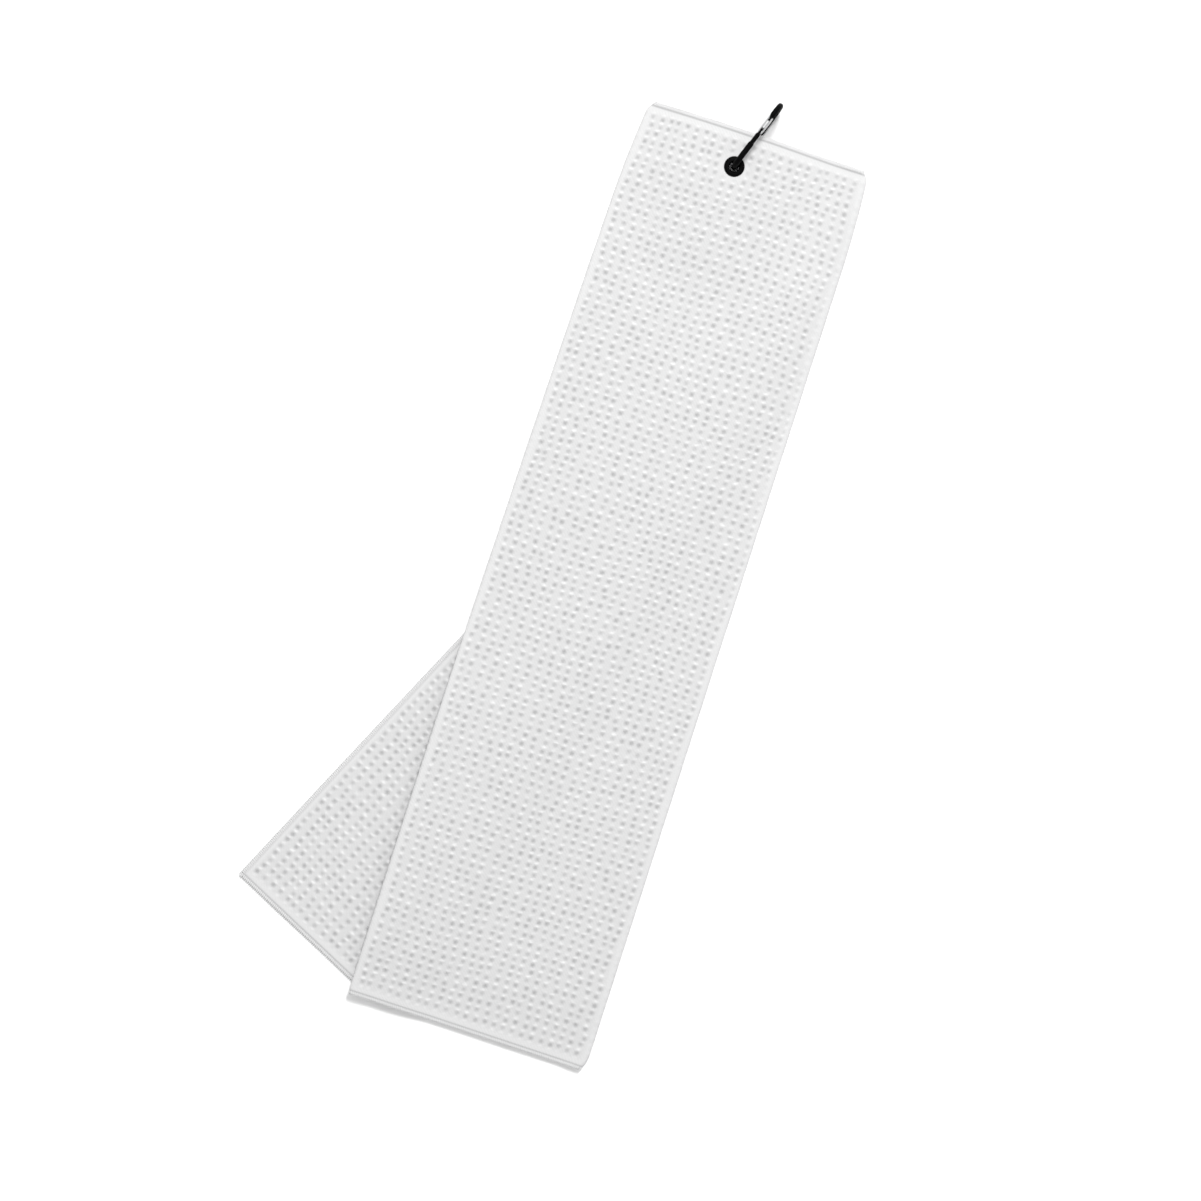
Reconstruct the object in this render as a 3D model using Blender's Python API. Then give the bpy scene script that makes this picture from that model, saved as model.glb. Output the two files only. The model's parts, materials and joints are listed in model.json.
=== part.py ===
"""A waffle golf towel, folded lengthwise and laid flat, with a grommet and a small snap carabiner.

Units are metres. +Z is up and the towel's long axis is Y, with the grommet end at +Y. The cloth is one
cut sheet: both sides are folded behind the front panel, and the loose lower end of the left back panel
is turned out again along a slanted pleat, so that its corner shows on the left. The carabiner stands on
its edge through the grommet and lifts the cloth there. The world origin is the centre of the footprint,
on the surface that the towel lies on.
"""

import math

import bmesh
import bpy
import numpy as np
from mathutils import Matrix, Vector
from mathutils.geometry import delaunay_2d_cdt

GAP = 0.0003  # the space left between two pieces that touch

# The cut sheet.
SHEET_WIDTH = 0.406
SHEET_LENGTH = 0.610
CLOTH_THICKNESS = 0.0013
LAYER_GAP = 0.0007
LAYER_PITCH = CLOTH_THICKNESS + LAYER_GAP

# How much of the sheet is folded behind on either side. The front panel is what is left.
BACK_LEFT_WIDTH = 0.1358
BACK_RIGHT_WIDTH_BOTTOM = 0.1096
BACK_RIGHT_WIDTH_TOP = 0.1160
SIDE_FOLD_RADIUS = 0.0020
FOLD_BULGE_LENGTH = 0.018

# The slanted pleat that turns the lower end of the left back panel out again.
PLEAT_DEPTH = 0.0158
PLEAT_ANGLE = math.radians(12.5)
PLEAT_RADIUS = 0.0012

# A layer stays up for STEP_MARGIN past an edge below it, then sinks over a ramp to the layer under it.
STEP_MARGIN = 0.006
BACK_RAMP = 0.014
FRONT_RAMP = 0.034

# How the outline leaves straight lines.
LEFT_BOW = 0.0024
BOW_REACH = 0.090
CORNER_TUCK = 0.0035
CORNER_TUCK_LENGTH = 0.012
CORNER_TUCK_REACH = 0.030

# The overlocked thread along each cut edge.
EDGE_THREAD_WIDTH = 0.0010
EDGE_THREAD_THICKNESS = 0.0011

# The grommet, whose axis is GROMMET_INSET below the top edge and off the panel's centre line.
GROMMET_FROM_LEFT = 0.0677
GROMMET_INSET = 0.0241
GROMMET_BORE = 0.0068
BARREL_WALL = 0.0004
FLANGE_DIAMETER = 0.0134
FLANGE_RISE = 0.0011
WASHER_THICKNESS = 0.0007
CURL_REACH = 0.0008
CURL_THICKNESS = 0.0006
ROLLED_EDGE = 0.0004
SMALL_CHAMFER = 0.0002
WASHER_CROWN = 0.0006

# The dome that the carabiner lifts in the cloth: flat round the grommet, then falling over these distances.
LIFT_PLATEAU_MARGIN = 0.0025
LIFT_REACH_ACROSS = 0.080
LIFT_REACH_DOWN = 0.095
LIFT_REACH_UP = 0.170

# The carabiner: its loop stands on the surface and passes through the grommet.
CARABINER_REACH = 0.0507
CARABINER_HEIGHT = 0.026
CARABINER_ANGLE = math.radians(-19.0)
WIRE_DIAMETER = 0.0038
NEAR_BEND = 0.0075
FAR_BEND = 0.0085
NECK_DIAMETER = 0.0030
NECK_START = 0.018
NECK_END = 0.025
NOSE_START = 0.0384
NOSE_NECK_LENGTH = 0.003
SHOULDER = 0.0008

# The gate and what it carries.
GATE_DIAMETER = 0.0038
PIN_DIAMETER = 0.0010
TANG_THICKNESS = 0.0012
CAM_RISE_PER_RADIAN = 0.00115
CAM_SWEEP = math.radians(40.0)
KEY_LENGTH = 0.0027
KEY_LIP = 0.0004
KEY_HALF_HEIGHT = 0.0014
LATCH_FROM_NOSE = 0.0015
BORE_DEPTH = 0.0046
BORE_DIAMETER = 0.0022
PLUNGER_DIAMETER = 0.0015
PLUNGER_LENGTH = 0.0016
PLUNGER_TRAVEL = 0.0008
PIN_SETBACK = 0.0002
GATE_END_CHAMFER = 0.0003
SPRING_WIRE = 0.00028
SPRING_TURNS = 4

# Mesh fineness, and how far a helper solid runs past a face that it joins or cuts.
COARSE_STEPS = 3
FINE_SPACING = 0.009
FOLD_LINE_SPACING = 0.020
BEND_TOLERANCE = 0.00035
NORMAL_STEP = 0.0002
FOLD_LINES = (-1.0, -0.5, 0.0, 0.5, 1.0)
OVERRUN = 0.001
BORE_OVERRUN = 0.0002
ROUND_END_SHARE = 0.97

# What follows from the sizes above.
FRONT_WIDTH_BOTTOM = SHEET_WIDTH - BACK_LEFT_WIDTH - BACK_RIGHT_WIDTH_BOTTOM
FRONT_WIDTH_TOP = SHEET_WIDTH - BACK_LEFT_WIDTH - BACK_RIGHT_WIDTH_TOP
SIDE_HALF_ARC = math.pi * SIDE_FOLD_RADIUS / 2
PLEAT_HALF_ARC = math.pi * PLEAT_RADIUS / 2
ARC_TAKE_UP = SIDE_HALF_ARC - SIDE_FOLD_RADIUS
FRONT_ORIGIN_IN_SHEET = BACK_LEFT_WIDTH + ARC_TAKE_UP
PLEAT_NORMAL = (math.cos(PLEAT_ANGLE), -math.sin(PLEAT_ANGLE))
PLEAT_FOOT = PLEAT_DEPTH + (PLEAT_HALF_ARC - PLEAT_RADIUS) / PLEAT_NORMAL[0]
BACK_LEFT_EDGE = BACK_LEFT_WIDTH - ARC_TAKE_UP
GROMMET_Y = SHEET_LENGTH - GROMMET_INSET
LAYERS_AT_GROMMET = 3
STACK_HEIGHT = LAYERS_AT_GROMMET * LAYER_PITCH - LAYER_GAP
BARREL_RADIUS = GROMMET_BORE / 2 + BARREL_WALL
CLOTH_HOLE_RADIUS = BARREL_RADIUS + GAP
WIRE_RADIUS = WIRE_DIAMETER / 2
NECK_RADIUS = NECK_DIAMETER / 2
TOP_BAR = CARABINER_HEIGHT - WIRE_RADIUS
GROMMET_TOP = STACK_HEIGHT + GAP + FLANGE_RISE
GROMMET_BOTTOM = -(GAP + WASHER_THICKNESS + GAP + CURL_THICKNESS)
INNER_BEND = NEAR_BEND - WIRE_RADIUS
LOWER_BEND_HEIGHT = (
    WIRE_RADIUS + NEAR_BEND - math.sqrt(INNER_BEND**2 - (NEAR_BEND - GROMMET_BORE / 2) ** 2)
)
LIFT = LOWER_BEND_HEIGHT + GAP - GROMMET_BOTTOM
LIFT_PLATEAU = FLANGE_DIAMETER / 2 + LIFT_PLATEAU_MARGIN
EDGE_THREAD_REACH = GAP + EDGE_THREAD_WIDTH

# Positions along the carabiner, from the grommet's axis.
GATE_RADIUS = GATE_DIAMETER / 2
PIN_RADIUS = PIN_DIAMETER / 2
PIN_HOLE_RADIUS = PIN_RADIUS + GAP
GATE_START = NECK_END + GAP
PIVOT = GATE_START + GATE_RADIUS
GATE_END = NOSE_START - GAP
LATCH = NOSE_START - LATCH_FROM_NOSE
KEY_TIP = NOSE_START - KEY_LENGTH
TANG_RADIUS = NECK_RADIUS
CAM_TOP = TANG_RADIUS + CAM_RISE_PER_RADIAN * CAM_SWEEP
HINGE_SLOT_END = PIVOT + CAM_TOP + GAP
LATCH_SLOT_START = KEY_TIP - GAP
SLOT_WIDTH = TANG_THICKNESS + 2 * GAP
BORE_END = HINGE_SLOT_END + BORE_DEPTH
PLUNGER_TIP = PIVOT + TANG_RADIUS + GAP
SPRING_START = PLUNGER_TIP + PLUNGER_LENGTH + PLUNGER_TRAVEL + GAP
SPRING_END = BORE_END - GAP

WHITE_WAFFLE = ("white_waffle_cloth", (0.80, 0.80, 0.79, 1.0), 0.9, 0.0)
WHITE_THREAD = ("white_thread", (0.86, 0.86, 0.85, 1.0), 0.8, 0.0)
BLACK_PAINT = ("black_painted_metal", (0.012, 0.012, 0.013, 1.0), 0.3, 0.5)
BRIGHT_ALUMINIUM = ("bright_aluminium", (0.80, 0.81, 0.82, 1.0), 0.28, 1.0)
STEEL = ("spring_steel", (0.55, 0.56, 0.58, 1.0), 0.3, 1.0)


# ---------------------------------------------------------------- how the sheet is folded


def smooth_step(x):
    x = np.clip(x, 0.0, 1.0)
    return x * x * (3 - 2 * x)


def cover(past_edge, ramp):
    """How far a layer holds up the one above it: 1 over it and a little past its edge, 0 further out."""
    return smooth_step((STEP_MARGIN + ramp - past_edge) / ramp)


def turn(side, half_arc, radius):
    """Fold a plane at side == 0: the new distance from there, and 0 on the near side to 1 on the far."""
    angle = np.clip((side + half_arc) / radius, 0.0, math.pi)
    on_arc = -half_arc + radius * np.sin(angle)
    moved = np.where(side < -half_arc, side, np.where(side > half_arc, -side, on_arc))
    return moved, (1 - np.cos(angle)) / 2


def right_fold(y):
    """Where the front panel's right fold lies, from its left fold, at this height up the towel."""
    return FRONT_WIDTH_BOTTOM + (FRONT_WIDTH_TOP - FRONT_WIDTH_BOTTOM) * y / SHEET_LENGTH


def back_right_edge(y):
    """Where the cut edge of the right back panel lies behind the front panel."""
    return 2 * (right_fold(y) + ARC_TAKE_UP) - (SHEET_WIDTH - FRONT_ORIGIN_IN_SHEET)


def pleat_side(x, y):
    """Distance to the right of the pleat's fold line."""
    return (x - PLEAT_FOOT) * PLEAT_NORMAL[0] + y * PLEAT_NORMAL[1]


def layer_heights(x, y):
    """Mid-surface heights of the turned-out end, the left back, the right back and the front panel."""
    side = pleat_side(x, y)
    past_pleat = side + PLEAT_HALF_ARC - PLEAT_RADIUS
    unturned_x = x - 2 * side * PLEAT_NORMAL[0]
    unturned_y = y - 2 * side * PLEAT_NORMAL[1]
    past_back_left = x - BACK_LEFT_EDGE
    past_cut_edge = unturned_x - BACK_LEFT_EDGE

    def covers(ramp):
        """What holds a layer up: the turned-out end, the left back and the right back panel."""
        over_pleat = cover(past_pleat, ramp)
        turned_out = over_pleat * cover(past_cut_edge, ramp) * cover(-unturned_y, ramp)
        back_left = over_pleat * cover(past_back_left, ramp)
        return turned_out, back_left, cover(back_right_edge(y) - x, ramp)

    turned_out, back_left, _ = covers(BACK_RAMP)
    near_pleat = smooth_step(1 - np.abs(past_pleat) / FOLD_BULGE_LENGTH)
    pleat_bulge = (2 * PLEAT_RADIUS - LAYER_PITCH) * near_pleat * turned_out
    from_left = x - SIDE_FOLD_RADIUS
    from_right = right_fold(y) - SIDE_FOLD_RADIUS - x
    side_bulge = smooth_step(1 - from_left / FOLD_BULGE_LENGTH) + smooth_step(
        1 - from_right / FOLD_BULGE_LENGTH
    )
    z_turned = np.full_like(x, CLOTH_THICKNESS / 2)
    z_back_left = z_turned + LAYER_PITCH * turned_out + pleat_bulge
    z_back_right = z_back_left + LAYER_PITCH * back_left
    z_front = z_turned + LAYER_PITCH * sum(covers(FRONT_RAMP)) + pleat_bulge
    z_front = z_front + (2 * SIDE_FOLD_RADIUS - LAYER_PITCH) * side_bulge
    return z_turned, z_back_left, z_back_right, z_front


def outline_shift(x, y):
    """The sideways shift that bows the left edge out and tucks the lower right corner in."""
    along = np.clip(y / SHEET_LENGTH, 0.0, 1.0)
    bow = -LEFT_BOW * 4 * along * (1 - along) * smooth_step(1 - x / BOW_REACH)
    tuck = CORNER_TUCK * np.clip(1 - y / CORNER_TUCK_LENGTH, 0.0, 1.2) ** 2
    from_right = right_fold(y) - x
    return bow - tuck * smooth_step(1 - from_right / CORNER_TUCK_REACH)


def lift(x, y):
    """How far the carabiner holds the cloth up."""
    across = x - GROMMET_FROM_LEFT
    up = y - GROMMET_Y
    away = np.hypot(across, up)
    reach_along = np.where(up > 0, LIFT_REACH_UP, LIFT_REACH_DOWN)
    share = np.hypot(across / LIFT_REACH_ACROSS, up / reach_along)
    flat_share = LIFT_PLATEAU * share / np.maximum(away, 1e-6)
    beyond = np.clip((share - flat_share) / (1 - flat_share), 0.0, 1.0)
    return LIFT * (1 + np.cos(math.pi * beyond)) / 2


def fold_points(u, v):
    """Mid-surface points of the folded cloth for sheet positions: u from the left cut edge, v up."""
    x = np.asarray(u, float) - FRONT_ORIGIN_IN_SHEET
    y = np.array(v, float)
    left_side = -ARC_TAKE_UP - x
    right_line = right_fold(y) + ARC_TAKE_UP
    left_moved, left_turn = turn(left_side, SIDE_HALF_ARC, SIDE_FOLD_RADIUS)
    right_moved, right_turn = turn(x - right_line, SIDE_HALF_ARC, SIDE_FOLD_RADIUS)
    x = np.where(left_side > x - right_line, -ARC_TAKE_UP - left_moved, right_line + right_moved)
    side = pleat_side(x, y)
    pleat_moved, pleat_turn = turn(side, PLEAT_HALF_ARC, PLEAT_RADIUS)
    behind_left = left_turn >= 1.0
    shift = np.where(behind_left, pleat_moved - side, 0.0)
    pleat_turn = np.where(behind_left, pleat_turn, 0.0)
    x = x + shift * PLEAT_NORMAL[0]
    y = y + shift * PLEAT_NORMAL[1]
    z_turned, z_back_left, z_back_right, z_front = layer_heights(x, y)
    z = z_front + (z_back_left - z_front) * left_turn + (z_back_right - z_front) * right_turn
    z = z + (z_turned - z_back_left) * pleat_turn
    x = x + outline_shift(x, y)
    return np.stack([x, y, z + lift(x, y)], axis=-1)


def fold_normals(u, v):
    """Unit normals of the folded cloth, pointing out of the side that the front panel shows."""
    along_u = fold_points(u + NORMAL_STEP, v) - fold_points(u - NORMAL_STEP, v)
    along_v = fold_points(u, v + NORMAL_STEP) - fold_points(u, v - NORMAL_STEP)
    normal = np.cross(along_u, along_v)
    return normal / np.linalg.norm(normal, axis=-1, keepdims=True)


def grommet_holes():
    """Sheet positions of the grommet's hole in the front, the left back and the right back panel."""
    x = GROMMET_FROM_LEFT - float(outline_shift(np.array(GROMMET_FROM_LEFT), np.array(GROMMET_Y)))
    front = FRONT_ORIGIN_IN_SHEET + x
    back_left = FRONT_ORIGIN_IN_SHEET - 2 * ARC_TAKE_UP - x
    back_right = FRONT_ORIGIN_IN_SHEET + 2 * (right_fold(GROMMET_Y) + ARC_TAKE_UP) - x
    return [(u, GROMMET_Y) for u in (front, back_left, back_right)]


# ---------------------------------------------------------------- shared mesh tools


def material(finish):
    name, colour, roughness, metallic = finish
    made = bpy.data.materials.get(name)
    if made is None:
        made = bpy.data.materials.new(name)
        made.use_nodes = True
        shader = made.node_tree.nodes["Principled BSDF"]
        shader.inputs["Base Color"].default_value = colour
        shader.inputs["Roughness"].default_value = roughness
        shader.inputs["Metallic"].default_value = metallic
    return made


def add_object(name, mesh, parent=None, finish=None, helper=False):
    obj = bpy.data.objects.new(name, mesh)
    bpy.context.scene.collection.objects.link(obj)
    obj.parent = parent
    if finish:
        mesh.materials.append(material(finish))
    if helper:
        obj.hide_render = True
        obj.display_type = "WIRE"
    return obj


def add_empty(name, location, parent=None, turn_z=0.0):
    empty = bpy.data.objects.new(name, None)
    bpy.context.scene.collection.objects.link(empty)
    empty.empty_display_size = 0.01
    empty.location = location
    empty.rotation_euler = (0.0, 0.0, turn_z)
    empty.parent = parent
    return empty


def mesh_from(name, points, faces, smooth_angle=None):
    mesh = bpy.data.meshes.new(name)
    mesh.from_pydata([tuple(p) for p in points], [], faces)
    return finish_mesh(mesh, smooth_angle)


def finish_mesh(mesh, smooth_angle=None):
    """Turn all faces outwards, and shade the mesh smooth up to an angle."""
    shaped = bmesh.new()
    shaped.from_mesh(mesh)
    bmesh.ops.recalc_face_normals(shaped, faces=shaped.faces)
    shaped.to_mesh(mesh)
    shaped.free()
    if smooth_angle:
        mesh.shade_smooth()
        mesh.set_sharp_from_angle(angle=math.radians(smooth_angle))
    return mesh


def loft(name, rings, smooth_angle=None):
    """A closed solid through a row of rings with equally many points, capped at both ends."""
    count = len(rings[0])
    points = [point for ring in rings for point in ring]
    faces = [list(range(count))[::-1], [len(points) - count + i for i in range(count)]]
    for ring in range(len(rings) - 1):
        for i in range(count):
            j = (i + 1) % count
            first = ring * count
            faces.append([first + i, first + j, first + count + j, first + count + i])
    return mesh_from(name, points, faces, smooth_angle)


def turned(name, profile, steps, smooth_angle=40):
    """A ring-shaped solid: a closed outline of (radius, height) points turned about Z."""
    shaped = bmesh.new()
    corners = [shaped.verts.new((r, 0.0, z)) for r, z in profile]
    edges = [shaped.edges.new((corners[i - 1], corners[i])) for i in range(len(corners))]
    bmesh.ops.spin(
        shaped, geom=corners + edges, axis=(0, 0, 1), cent=(0, 0, 0), steps=steps, angle=math.tau
    )
    bmesh.ops.remove_doubles(shaped, verts=shaped.verts, dist=1e-6)
    mesh = bpy.data.meshes.new(name)
    shaped.to_mesh(mesh)
    shaped.free()
    return finish_mesh(mesh, smooth_angle)


def tube(name, path, radii, sides, smooth_angle=40):
    """A closed round bar along a path, with its own radius at each point."""
    rings = []
    up = Vector((1.0, 0.0, 0.0))
    for i, point in enumerate(path):
        ahead = path[min(i + 1, len(path) - 1)] - path[max(i - 1, 0)]
        ahead.normalize()
        first = (up - ahead * up.dot(ahead)).normalized()
        second = ahead.cross(first)
        up = first
        ring = []
        for k in range(sides):
            angle = math.tau * (k + 0.5) / sides
            across = first * math.cos(angle) + second * math.sin(angle)
            ring.append(point + across * radii[i])
        rings.append(ring)
    return loft(name, rings, smooth_angle)


def plate(name, outline, thickness):
    """A flat plate in the YZ plane, centred on X = 0."""
    rings = [[(side * thickness / 2, y, z) for y, z in outline] for side in (-1, 1)]
    return loft(name, rings)


def box(name, low, high):
    outline = [(low[1], low[2]), (high[1], low[2]), (high[1], high[2]), (low[1], high[2])]
    rings = [[(x, y, z) for y, z in outline] for x in (low[0], high[0])]
    return loft(name, rings)


def cross_cylinder(name, along, height, radius, length, sides):
    """A cylinder with its axis along X."""
    shaped = bmesh.new()
    turn_to_x = Matrix.Rotation(math.pi / 2, 4, "Y")
    place = Matrix.Translation((0.0, along, height)) @ turn_to_x
    bmesh.ops.create_cone(
        shaped,
        cap_ends=True,
        segments=sides,
        radius1=radius,
        radius2=radius,
        depth=length,
        matrix=place,
    )
    mesh = bpy.data.meshes.new(name)
    shaped.to_mesh(mesh)
    shaped.free()
    return finish_mesh(mesh, 40)


def combine(obj, operation, mesh):
    """Join a helper solid to an object, or cut it away."""
    helper = add_object(mesh.name, mesh, parent=obj.parent, helper=True)
    modifier = obj.modifiers.new(mesh.name, "BOOLEAN")
    modifier.operation = operation
    modifier.solver = "EXACT"
    modifier.object = helper


# ---------------------------------------------------------------- cloth


def fold_lines():
    """The straight lines of the fold arcs in the sheet, each as its u at the bottom and at the top hem."""
    lines = []
    for share in FOLD_LINES:
        left = BACK_LEFT_WIDTH + share * SIDE_HALF_ARC
        lines.append((left, left))
        right = FRONT_ORIGIN_IN_SHEET + ARC_TAKE_UP + share * SIDE_HALF_ARC
        lines.append((right + right_fold(0.0), right + right_fold(SHEET_LENGTH)))
        pleat_bottom = PLEAT_FOOT + share * PLEAT_HALF_ARC / PLEAT_NORMAL[0]
        pleat_top = pleat_bottom + SHEET_LENGTH * math.tan(PLEAT_ANGLE)
        behind = FRONT_ORIGIN_IN_SHEET - 2 * ARC_TAKE_UP
        lines.append((behind - pleat_bottom, behind - pleat_top))
    return lines


def along_fold_line(line):
    """Points along a fold line, ending where it leaves the sheet."""
    bottom, top = line
    end = 1.0 if top >= 0.0 else bottom / (bottom - top)
    count = math.ceil(end * SHEET_LENGTH / FOLD_LINE_SPACING)
    shares = [end * i / count for i in range(count + 1)]
    return [(max(bottom + (top - bottom) * s, 0.0), SHEET_LENGTH * s) for s in shares]


def bends_here(u, v):
    """Whether the folded cloth leaves a straight line by more than the tolerance over a coarse step."""
    step = COARSE_STEPS * FINE_SPACING / 2
    middle = fold_points(u, v)
    for du, dv in ((step, 0.0), (0.0, step)):
        before = fold_points(u - du, v - dv)
        after = fold_points(u + du, v + dv)
        if np.linalg.norm((before + after) / 2 - middle) > BEND_TOLERANCE:
            return True
    return False


def lattice_points(lines, holes):
    """Sheet points between the fold lines: a coarse lattice, and a fine one where the cloth bends."""
    columns = round(SHEET_WIDTH / FINE_SPACING)
    rows = round(SHEET_LENGTH / FINE_SPACING)
    points = []
    for i in range(columns + 1):
        for j in range(rows + 1):
            u = SHEET_WIDTH * i / columns
            v = SHEET_LENGTH * j / rows
            corner = i in (0, columns) and j in (0, rows)
            on_lines = [low + (high - low) * v / SHEET_LENGTH for low, high in lines]
            if not corner and min(abs(u - line) for line in on_lines) < 0.5 * FINE_SPACING:
                continue
            from_hole = min(math.dist((u, v), hole) for hole in holes)
            if from_hole < CLOTH_HOLE_RADIUS + 0.7 * FINE_SPACING:
                continue
            coarse_column = i % COARSE_STEPS == 0 or i == columns
            coarse_row = j % COARSE_STEPS == 0 or j == rows
            if corner or (coarse_column and coarse_row) or bends_here(u, v):
                points.append((u, v))
    return points


def triangulated_sheet():
    """The cut sheet as triangles in its own plane, with the fold lines and the grommet holes as edges."""
    points = []
    edges = []

    def add_chain(chain, closed=False):
        first = len(points)
        points.extend(chain)
        edges.extend((first + i, first + i + 1) for i in range(len(chain) - 1))
        if closed:
            edges.append((len(points) - 1, first))

    add_chain(
        [(0.0, 0.0), (SHEET_WIDTH, 0.0), (SHEET_WIDTH, SHEET_LENGTH), (0.0, SHEET_LENGTH)], True
    )
    lines = fold_lines()
    holes = grommet_holes()
    for line in lines:
        add_chain(along_fold_line(line))
    for u, v in holes:
        for radius, sides in ((CLOTH_HOLE_RADIUS, 16), (LIFT_PLATEAU, 12)):
            angles = [math.tau * i / sides for i in range(sides)]
            circle = [(u + radius * math.cos(a), v + radius * math.sin(a)) for a in angles]
            add_chain(circle, True)
    points.extend(lattice_points(lines, holes))
    found = delaunay_2d_cdt([Vector(p) for p in points], edges, [], 0, 1e-6, False)
    flat = np.array([tuple(p) for p in found[0]])
    faces = []
    for face in found[2]:
        corners = flat[list(face)]
        middle = corners.mean(axis=0)
        if min(math.dist(middle, hole) for hole in holes) < CLOTH_HOLE_RADIUS:
            continue
        (ax, ay), (bx, by) = corners[1] - corners[0], corners[2] - corners[0]
        twice_area = ax * by - ay * bx
        if abs(twice_area) > 1e-10:
            faces.append(tuple(face) if twice_area > 0 else tuple(face)[::-1])
    return flat, faces


def build_cloth(parent):
    flat, faces = triangulated_sheet()
    used = sorted({i for face in faces for i in face})
    new_index = {old: new for new, old in enumerate(used)}
    flat = flat[used]
    faces = [tuple(new_index[i] for i in face) for face in faces]
    middle = fold_points(flat[:, 0], flat[:, 1])
    outward = fold_normals(flat[:, 0], flat[:, 1]) * CLOTH_THICKNESS / 2
    count = len(flat)
    points = np.concatenate([middle + outward, middle - outward])
    solid = list(faces) + [tuple(i + count for i in reversed(face)) for face in faces]
    sides = {}
    for face in faces:
        for i in range(3):
            sides[face[i], face[(i + 1) % 3]] = face
    for a, b in sides:
        if (b, a) not in sides:
            solid.append((b, a, a + count, b + count))
    mesh = mesh_from("towel_cloth", points, solid)
    return add_object("towel_cloth", mesh, parent, WHITE_WAFFLE)


def edge_stops(lines, top):
    """Positions along the top or bottom hem: the fold lines and even steps between them."""
    on_hem = sorted(line[1] if top else line[0] for line in lines)
    count = round(SHEET_WIDTH / FINE_SPACING)
    even = [SHEET_WIDTH * i / count for i in range(count + 1)]
    even = [u for u in even if min(abs(u - fold) for fold in on_hem) > 0.4 * FINE_SPACING]
    return sorted(even + [u for u in on_hem if 0.0 < u < SHEET_WIDTH])


def side_stops(lines, left):
    """Positions up the left or right cut edge, closer where the pleat crosses it."""
    count = round(SHEET_LENGTH / FOLD_LINE_SPACING)
    stops = [SHEET_LENGTH * i / count for i in range(count + 1)]
    if left:
        crossings = [SHEET_LENGTH * low / (low - high) for low, high in lines if high < 0.0]
        stops = [v for v in stops if min(abs(v - c) for c in crossings) > 0.3 * FOLD_LINE_SPACING]
        stops = sorted(stops + crossings)
    return stops


def build_edge_thread(name, positions, outward, parent):
    """An overlocked run along one cut edge, following the cloth round its folds."""
    rings = []
    for u, v in positions:
        ring = []
        corners = ((GAP, 1), (EDGE_THREAD_REACH, 1), (EDGE_THREAD_REACH, -1), (GAP, -1))
        for reach, side in corners:
            at = (np.array(u + outward[0] * reach), np.array(v + outward[1] * reach))
            offset = fold_normals(*at) * side * EDGE_THREAD_THICKNESS / 2
            ring.append(fold_points(*at) + offset)
        rings.append(ring)
    return add_object(name, loft(name, rings), parent, WHITE_THREAD)


def build_edge_threads(parent):
    lines = fold_lines()
    top = [(u, SHEET_LENGTH) for u in edge_stops(lines, True)]
    bottom = [(u, 0.0) for u in edge_stops(lines, False)]
    left = [(0.0, v) for v in side_stops(lines, True)]
    right = [(SHEET_WIDTH, v) for v in side_stops(lines, False)]
    build_edge_thread("edge_thread_top", top, (0, 1), parent)
    build_edge_thread("edge_thread_bottom", bottom, (0, -1), parent)
    build_edge_thread("edge_thread_left", left, (-1, 0), parent)
    build_edge_thread("edge_thread_right", right, (1, 0), parent)


# ---------------------------------------------------------------- grommet


def build_grommet(parent):
    """The eyelet with its flange above and its curl below, and the washer between curl and cloth."""
    axis = add_empty("grommet_axis", (GROMMET_FROM_LEFT, GROMMET_Y, LIFT), parent)
    inner = GROMMET_BORE / 2
    rim = FLANGE_DIAMETER / 2
    under_flange = STACK_HEIGHT + GAP
    washer_bottom = -GAP - WASHER_THICKNESS
    curl_top = washer_bottom - GAP
    curl_rim = BARREL_RADIUS + CURL_REACH
    curl_bottom = curl_top - CURL_THICKNESS
    eyelet = [
        (inner, curl_bottom + SMALL_CHAMFER),
        (inner, GROMMET_TOP - ROLLED_EDGE),
        (inner + ROLLED_EDGE, GROMMET_TOP),
        ((inner + rim) / 2, GROMMET_TOP),
        (rim - ROLLED_EDGE, GROMMET_TOP - ROLLED_EDGE),
        (rim, under_flange + SMALL_CHAMFER),
        (rim, under_flange),
        (BARREL_RADIUS, under_flange),
        (BARREL_RADIUS, curl_top),
        (curl_rim, curl_top),
        (curl_rim, curl_top - CURL_THICKNESS / 2),
        (curl_rim - ROLLED_EDGE, curl_bottom),
        (inner + SMALL_CHAMFER, curl_bottom),
    ]
    washer_inner = BARREL_RADIUS + GAP
    washer = [
        (washer_inner, washer_bottom),
        (rim - WASHER_CROWN, washer_bottom),
        (rim, washer_bottom + WASHER_CROWN / 2),
        (rim, -GAP),
        (washer_inner, -GAP),
    ]
    add_object("grommet_eyelet", turned("grommet_eyelet", eyelet, 28), axis, BLACK_PAINT)
    add_object("grommet_washer", turned("grommet_washer", washer, 28), axis, BLACK_PAINT)


# ---------------------------------------------------------------- carabiner


def bend(centre, radius, start, end, steps):
    """Points on an arc in the loop's plane, between two angles measured from the Y direction."""
    angles = [math.radians(start + (end - start) * i / steps) for i in range(steps + 1)]
    return [
        Vector((0.0, centre[0] + radius * math.cos(a), centre[1] + radius * math.sin(a)))
        for a in angles
    ]


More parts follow.
